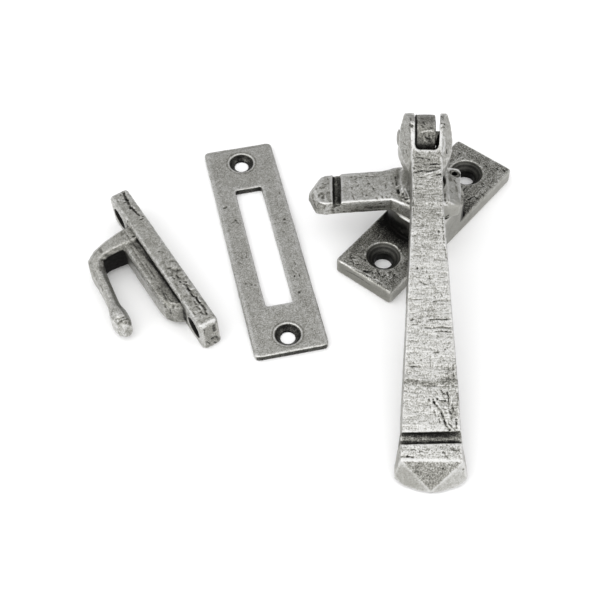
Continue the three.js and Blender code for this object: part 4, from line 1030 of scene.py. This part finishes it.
def make_mortice():
    skin = Skin("mortice_plate", "mortice")
    skin.smooth(2)
    local, normal = skin.local(), skin.local_normals()
    x, y, z = local.T
    _, norm_y, norm_z = normal.T
    off, along = np.abs(x), np.abs(y)
    under = ramp(-norm_z, 0.5, 0.9)
    top = ramp(norm_z, 0.7, 0.95)

    low = 0.04 * fbm(local, 0.12, 2, seed=73) + 0.02 * fbm(local, 0.6, 2, seed=75)
    pitted = pits(local, 0.4, 0.07, 0.32, seed=77)
    dark, light, lift = draw_marks(local, MARKS_MORTICE)
    # Distances in from the plate's rim and out from the slot; both rims drop a little.
    border = np.minimum(10.0 - off, 37.5 - np.abs(y + 0.37))
    inner = np.where(along < 21.3, off - 3.8, along - 21.25)
    inner = np.where((off > 3.8) & (along > 21.25), 9, inner)
    drop = 0.07 * fade(border, 0.2, 1.2) + 0.05 * fade(inner, 0.1, 0.8) * (along < 20.8)
    cast = 0.022 * fbm(local, 1.5, 2, seed=76)
    skin.lift((low + cast - 0.08 * pitted - drop * top + lift) * (1 - under))
    rims = np.maximum(band(border, 0.4, 1.1, 0.3), band(inner, 0.05, 0.7, 0.2))
    light = np.maximum(light, 0.2 * top * rims)

    tone = np.zeros(len(local))
    # Screw holes: painted shade inside, lighter further in, a painted highlight on the rim and a
    # dark ring just outside it.
    for hole_y in (31.5, -31.5):
        radius = np.hypot(x, y - hole_y)
        tone = tone - fade(radius, 3.35, 3.58) * (0.62 - 0.2 * band(radius, 2.2, 2.9, 0.25))
        light = np.maximum(light, 0.4 * band(radius, 3.62, 3.9, 0.1) * top)
        dark = np.maximum(dark, 0.28 * band(radius, 4.0, 4.4, 0.12) * top)
    # Painted shade on the walls that face -y.
    tone = tone - 0.62 * ramp(-norm_y, 0.6, 0.9) * (z < 1.8)  # walls that face -y
    skin.build("mortice_plate_cast", "base", "pewter_keep", "mortice",
               mark=np.maximum(pitted * 0.6, dark), light=light, tone=tone)


def make_hook():
    skin = Skin("hook_plate", "hook")
    arm = ramp(skin.local()[:, 1], 1, 5)
    skin.smooth(2)
    skin.soften(6, 0.1 + 0.5 * arm)
    local, normal = skin.local(), skin.local_normals()
    x, y, z = local.T
    norm_x, _, norm_z = normal.T

    low = 0.07 * fbm(local, 0.16, 2, seed=83) + 0.04 * fbm(local, 0.6, 2, seed=85)
    pitted = pits(local, 0.6, 0.10, 0.34, seed=87)
    dark, light, lift = draw_marks(local, MARKS_HOOK)
    skin.lift(low + 0.03 * fbm(local, 1.4, 2, seed=86) - 0.09 * pitted + lift)

    tone = np.zeros(len(local))
    # Painted shade inside the screw holes.
    for hole_x in (4.3, 47.9):
        radius = np.hypot(x - hole_x, z - 5.25)
        tone = tone - fade(radius, 3.0, 3.2) * 0.8 * ramp(y, -4.6, -4.0)
    # Painted shade on the throat wall inside the arch.
    throat_shade = ramp(-norm_x, 0.6, 0.85) * band(x, 30.5, 36.5, 0.6) * ramp(y, 3.2, 4.2)
    tone = tone - 0.85 * throat_shade

    # Faces that look to -x get painted shade, with random patches on the pad's end; the lower strip
    # along the top is darker.
    pad_end = ramp(-norm_x, 0.35, 0.6) * band(x, 6, 16, 0.8) * ramp(y, 0.3, 1.0)
    near_end = ramp(-norm_x, 0.7, 0.95) * fade(x, 0.2, 0.9)
    valley = ramp(norm_z, 0.5, 0.8) * fade(z, 9.3, 9.9) * band(y, 0.2, 4.0, 0.4)
    valley = valley * fade(x, 34, 38)
    tone = tone + 0.22 * pad_end * fbm(local, 0.7, 3, seed=93)
    tone = tone - 0.12 * pad_end - 0.10 * near_end - 0.10 * valley
    bulb = ramp(y, 10, 12) * fade(x, 17, 20)  # the rounded end of the arm
    tone = tone + 0.07 * bulb

    # Crumbled patch on the top towards the -x end, then a fuller bulb.
    worn = ramp(norm_z, 0.6, 0.85) * ramp(z, 9.7, 10.1) * fade(x, 22, 29) * ramp(-y, 0.6, 1.6)
    crumbs = worn * 0.10 * fbm(local, 1.0, 3, seed=89)
    skin.lift(crumbs)
    dark = np.maximum(dark, np.clip(-crumbs / 0.05, 0, 1) * 0.35)
    skin.lift(0.34 * bulb * fade(np.abs(norm_z), 0.6, 0.9))

    # Everything on the +y side of the plate is calmer.
    behind = ramp(y, 0.2, 0.9)
    dark = dark * (1 - 0.45 * behind * fade(np.abs(y - 2), 2.2, 3.2))
    # Painted shade along a crease line across the bulb.
    line = band(y, 13.8, 16.6, 0.3) * fade(np.abs(x - 14.4), 0.1, 0.3) * ramp(norm_z, 0.2, 0.5)
    tone = tone - 0.32 * line
    ribs = ramp(norm_z, 0.5, 0.8) * valley * fbm(local, (0.12, 1.6, 0.6), 3, seed=91)
    skin.build("hook_plate_cast", "base", "pewter_keep", "hook",
               mark=np.maximum(pitted * 0.5, dark), light=light * (1 - 0.7 * behind),
               tone=tone + 0.14 * ribs, soft=0.6 * behind * (1 - 0.4 * bulb))


# ------------------------------------------------ turned pieces and the screw
def publish_small(mesh, node, axes, body, finish):
    points = read_vectors(mesh.vertices, "co")
    normals = read_vectors(mesh.vertex_normals, "vector")
    bulge = ((points - neighbour_mean(points, *read_edges(mesh))) * normals).sum(1)
    layers = {"edge": np.clip(bulge / 0.02, 0, 1), "cav": np.clip(-bulge / 0.02, 0, 1), "brush": 1}
    publish(mesh, node, body, finish, to_local(points, axes), layers)


def new_mesh(name, points, faces):
    mesh = bpy.data.meshes.new(name)
    mesh.from_pydata([tuple(point) for point in points], [], faces)
    bm = bmesh.new()
    bm.from_mesh(mesh)
    bmesh.ops.recalc_face_normals(bm, faces=bm.faces)
    bm.to_mesh(mesh)
    bm.free()
    mesh.update()
    return mesh


def join_rings(ring_a, ring_b):
    """Faces between two closed rings of vertex numbers; one may be a single point."""
    if len(ring_a) == 1:
        return [(ring_a[0], *pair[::-1]) for pair in zip(ring_b, ring_b[1:] + ring_b[:1])]
    pairs = zip(ring_a, ring_a[1:] + ring_a[:1])
    if len(ring_b) == 1:
        return [(*pair, ring_b[0]) for pair in pairs]
    return [(*a, *b[::-1]) for a, b in zip(pairs, zip(ring_b, ring_b[1:] + ring_b[:1]))]


def rounded(profile, radius, steps):
    """A profile with its inner corners rounded; the two end points stay."""
    path = [profile[0]]
    for corner in zip(profile, profile[1:], profile[2:]):
        before, middle, after = map(np.array, corner)
        length_in = np.linalg.norm(before - middle)
        length_out = np.linalg.norm(after - middle)
        cut = min(radius, 0.45 * length_in, 0.45 * length_out)
        start = middle + (before - middle) / length_in * cut
        end = middle + (after - middle) / length_out * cut
        for i in range(steps + 1):
            t = i / steps
            path.append(tuple((1 - t) ** 2 * start + 2 * t * (1 - t) * middle + t * t * end))
    path.append(profile[-1])
    return path


def divided(profile, spacing=0.35):
    path = []
    for (r0, z0), (r1, z1) in zip(profile, profile[1:]):
        count = max(1, int(math.hypot(r1 - r0, z1 - z0) / spacing))
        path += [(r0 + (r1 - r0) * i / count, z0 + (z1 - z0) * i / count) for i in range(count)]
    path.append(profile[-1])
    return path


def turned_points(profile, segments=96):
    """Points about z from (radius, z) pairs, and the vertex numbers of each ring."""
    points, rings = [], []
    for radius, z in profile:
        count = 1 if radius < 1e-6 else segments
        rings.append(list(range(len(points), len(points) + count)))
        if count == 1:
            points.append((0, 0, z))
            continue
        for i in range(segments):
            a = 2 * math.pi * i / segments
            points.append((radius * math.cos(a), radius * math.sin(a), z))
    return np.array(points, float), rings


def join_all(rings):
    return [face for pair in zip(rings, rings[1:]) for face in join_rings(*pair)]


def hammered(points, height, seed):
    """Uneven turned points, by up to height mm outwards and along z."""
    radius = np.maximum(np.hypot(points[:, 0], points[:, 1]), 1e-6)
    push = height * fbm(points, 0.9, 2, seed=seed) * np.minimum(radius, 1)
    points[:, :2] += points[:, :2] / radius[:, None] * push[:, None]
    points[:, 2] += height * fbm(points, 0.8, 2, seed=seed + 3)
    return points


# Turned outlines, (radius, z) in mm.
PIN_OUTLINE = [
    (0, -7.72), (0.8, -7.7), (1.55, -7.56), (2.15, -7.32), (2.42, -7.12), (2.36, -7.03),
    (2.0, -7.02), (2.0, 6.9), (2.38, 6.92), (2.44, 7.02), (2.1, 7.18), (1.5, 7.27),
    (0.7, 7.31), (0, 7.32),
]
POST_OUTLINE = [
    (0, 3.0), (2.7, 3.0), (3.0, 3.3), (3.0, 17.2), (3.68, 17.24), (3.68, 17.45), (3.4, 17.72),
    (2.8, 17.98), (1.9, 18.12), (0.9, 18.16), (0.5, 18.02), (0, 17.96),
]
# Closed sections: the last point repeats the first.
WASHER_SECTION = [
    (3.07, 16.8), (3.07, 17.14), (4.1, 17.14), (4.1, 16.5), (3.07, 16.5), (3.07, 16.8),
]
WAVE_SECTION = [(3.3, 0), (3.3, 0.2), (4.1, 0.2), (4.1, -0.2), (3.3, -0.2), (3.3, 0)]


def make_pin():
    # Driven through both ears along the lever's x, with a hammered dome each side.
    points, rings = turned_points(divided(rounded(PIN_OUTLINE, 0.15, 3)))
    points = hammered(points, 0.035, seed=101)
    points = to_scene(np.stack([points[:, 2], points[:, 1], -points[:, 0]], 1), "lever")
    mesh = new_mesh("pivot_pin_peened", points, join_all(rings))
    publish_small(mesh, "pivot_pin", "lever", "lever", "pin")


def make_post():
    points, rings = turned_points(divided(rounded(POST_OUTLINE, 0.12, 3)))
    points = hammered(points, 0.03, seed=111)
    mesh = new_mesh("spindle_post_riveted", points, join_all(rings))
    publish_small(mesh, "spindle_post", "base", "base", "pin")


def make_washer():
    points, rings = turned_points(rounded(WASHER_SECTION, 0.12, 4)[:-1])
    mesh = new_mesh("retaining_washer_turned", points, join_all(rings + rings[:1]))
    publish_small(mesh, "retaining_washer", "base", "base", "pin")


def make_wave():
    steps, height, swing, waves = 120, 15.98, 0.2, 3
    section = rounded(WAVE_SECTION, 0.08, 3)[:-1]
    points, rings = [], []
    for i in range(steps):
        a = 2 * math.pi * i / steps
        middle = height + swing * math.cos(waves * a)
        rings.append(list(range(len(points), len(points) + len(section))))
        points += [(r * math.cos(a), r * math.sin(a), middle + z) for r, z in section]
    mesh = new_mesh("wave_washer_sprung", points, join_all(rings + rings[:1]))
    publish_small(mesh, "wave_washer", "block", "block", "spring")


def make_screw():
    # Socket set screw with a cut thread: crest and root follow a helix.
    segments, rows = 72, 140
    bottom, top, pitch = 12.9, 17.1, 0.5
    crest, root = 1.45, 1.2
    point_radius = 0.7  # at the bottom, widening by 45 degrees
    socket = 0.866  # hexagon's corner radius
    centre = np.array([7.15, 3.75, 0])
    angles = [2 * math.pi * i / segments for i in range(segments)]
    points = []

    def add_ring(radii, z):
        start = len(points)
        points.extend((r * math.cos(a), r * math.sin(a), z) for r, a in zip(radii, angles))
        return list(range(start, start + segments))

    def add_point(z):
        points.append((0, 0, z))
        return [len(points) - 1]

    def thread_radius(i, z):
        phase = ((z - bottom) / pitch - i / segments) % 1.0
        rise = (abs(phase - 0.5) * 2 - 0.12) / 0.76
        radius = root + (crest - root) * min(1, max(0, rise))
        chamfer = crest - max(0, z - (top - 0.22)) * 0.9
        return min(radius, point_radius + (z - bottom), chamfer)

    def add_hexagon(scale, z, roundness=0.0):
        radii = []
        for a in angles:
            from_flat = (a + math.pi / 6) % (math.pi / 3) - math.pi / 6
            radius = socket * math.cos(math.pi / 6) / math.cos(from_flat)
            radii.append((radius * (1 - roundness) + socket * roundness) * scale)
        return add_ring(radii, z)

    thread = []
    for row in range(rows + 1):
        z = bottom + (top - bottom) * row / rows
        thread.append(add_ring([thread_radius(i, z) for i in range(segments)], z))
    faces = join_all(thread) + join_rings(add_point(bottom), thread[0])
    faces += join_all([
        thread[-1],
        add_hexagon(1.22, top, roundness=0.6),
        add_hexagon(1.06, top - 0.05),
        add_hexagon(1.0, top - 0.14),
        add_hexagon(1.0, top - 1.6),
        add_hexagon(0.45, top - 1.8),
        add_point(top - 1.9),
    ])
    mesh = new_mesh("lock_screw_threaded", np.array(points, float) + centre, faces)
    publish_small(mesh, "lock_screw", "block", "lock", "screw")


# ------------------------------------------------------- floor and light, metres
def make_floor():
    # A flat disc whose far rim curves up a little, so that a low view meets no edge.
    segments, flat_radius, curve_radius, drop = 96, 2.4, 1.1, 0.00003
    rim = [
        (flat_radius + curve_radius * math.sin(a), curve_radius * (1 - math.cos(a)))
        for a in (0, 0.1, 0.2, 0.3, 0.4, 0.5, 0.6)
    ]
    points, faces = [(0.0, 0.0, -drop)], []
    for radius, z in rim:
        for k in range(segments):
            a = 2 * math.pi * k / segments
            points.append((radius * math.cos(a), radius * math.sin(a), z - drop))
    for k in range(segments):
        after = (k + 1) % segments
        faces.append((0, 1 + k, 1 + after))
        for i in range(len(rim) - 1):
            inner, outer = 1 + i * segments, 1 + (i + 1) * segments
            faces.append((inner + k, outer + k, outer + after, inner + after))
    mesh = bpy.data.meshes.new("floor")
    mesh.from_pydata(points, [], faces)
    floor = bpy.data.objects.new("floor", mesh)
    bpy.context.scene.collection.objects.link(floor)
    material = bpy.data.materials.new("floor_white")
    g = Graph(material)
    surface = g.add("ShaderNodeBsdfPrincipled", {
        "Base Color": (0.97, 0.97, 0.972, 1),
        "Roughness": 0.8,
        "Specular IOR Level": 0.1,
        "Emission Color": (1, 1, 1, 1),
        "Emission Strength": 0.04,
    })
    g.add("ShaderNodeOutputMaterial", {"Surface": surface.outputs["BSDF"]})
    mesh.materials.append(material)


# Sky brightness from directly away from the bright side (0) to its middle (1).
SKY = [(0.0, 0.22), (0.2, 0.26), (0.5, 0.36), (0.64, 0.50), (0.8, 0.82), (0.9, 1.0), (1.0, 1.1)]
SKY_BRIGHT_SIDE = (0.0, -0.6, 0.8)  # direction of the brightest sky


def make_world():
    # A wide soft box above and behind the camera that falls off towards the far wall.
    world = bpy.data.worlds.new("studio")
    bpy.context.scene.world = world
    g = Graph(world)
    direction = g.add("ShaderNodeTexCoord").outputs["Generated"]
    facing = g.add("ShaderNodeVectorMath", {0: direction, 1: SKY_BRIGHT_SIDE},
                   operation="DOT_PRODUCT").outputs["Value"]
    color = g.add("ShaderNodeValToRGB", {"Fac": g.range(facing, start=-1.0, end=1.0)})
    set_ramp(color, [(position, (v, v, v, 1)) for position, v in SKY])
    background = g.add("ShaderNodeBackground", {"Color": color.outputs["Color"], "Strength": 1.42})
    g.add("ShaderNodeOutputWorld", {"Surface": background.outputs[0]})


def make_light():
    place, target = Vector((-0.5, -0.2, 0.7)), Vector((-0.03, -0.02, 0))
    light = bpy.data.lights.new("left_box", "AREA")
    light.shape = "RECTANGLE"
    light.size = light.size_y = 0.9
    light.energy = 1.6
    holder = bpy.data.objects.new("left_box", light)
    holder.location = place
    holder.rotation_euler = (target - place).to_track_quat("-Z", "Y").to_euler()
    bpy.context.scene.collection.objects.link(holder)


def make_camera():
    camera = bpy.data.cameras.new("camera")
    camera.sensor_width = 36
    camera.lens = 79.47
    camera.clip_start, camera.clip_end = 0.01, 20
    holder = bpy.data.objects.new("camera", camera)
    holder.location = (-0.03528, -0.24358, 0.28555)
    look_down = 52.808  # degrees below level
    holder.rotation_euler = (math.radians(90 - look_down), 0, 0)
    bpy.context.scene.collection.objects.link(holder)
    bpy.context.scene.camera = holder


make_handle()
make_block()
make_base()
make_mortice()
make_hook()
make_pin()
make_post()
make_washer()
make_wave()
make_screw()
make_floor()
make_world()
make_light()
make_camera()
bpy.context.scene.view_settings.view_transform = "Standard"
bpy.context.scene.view_settings.look = "None"
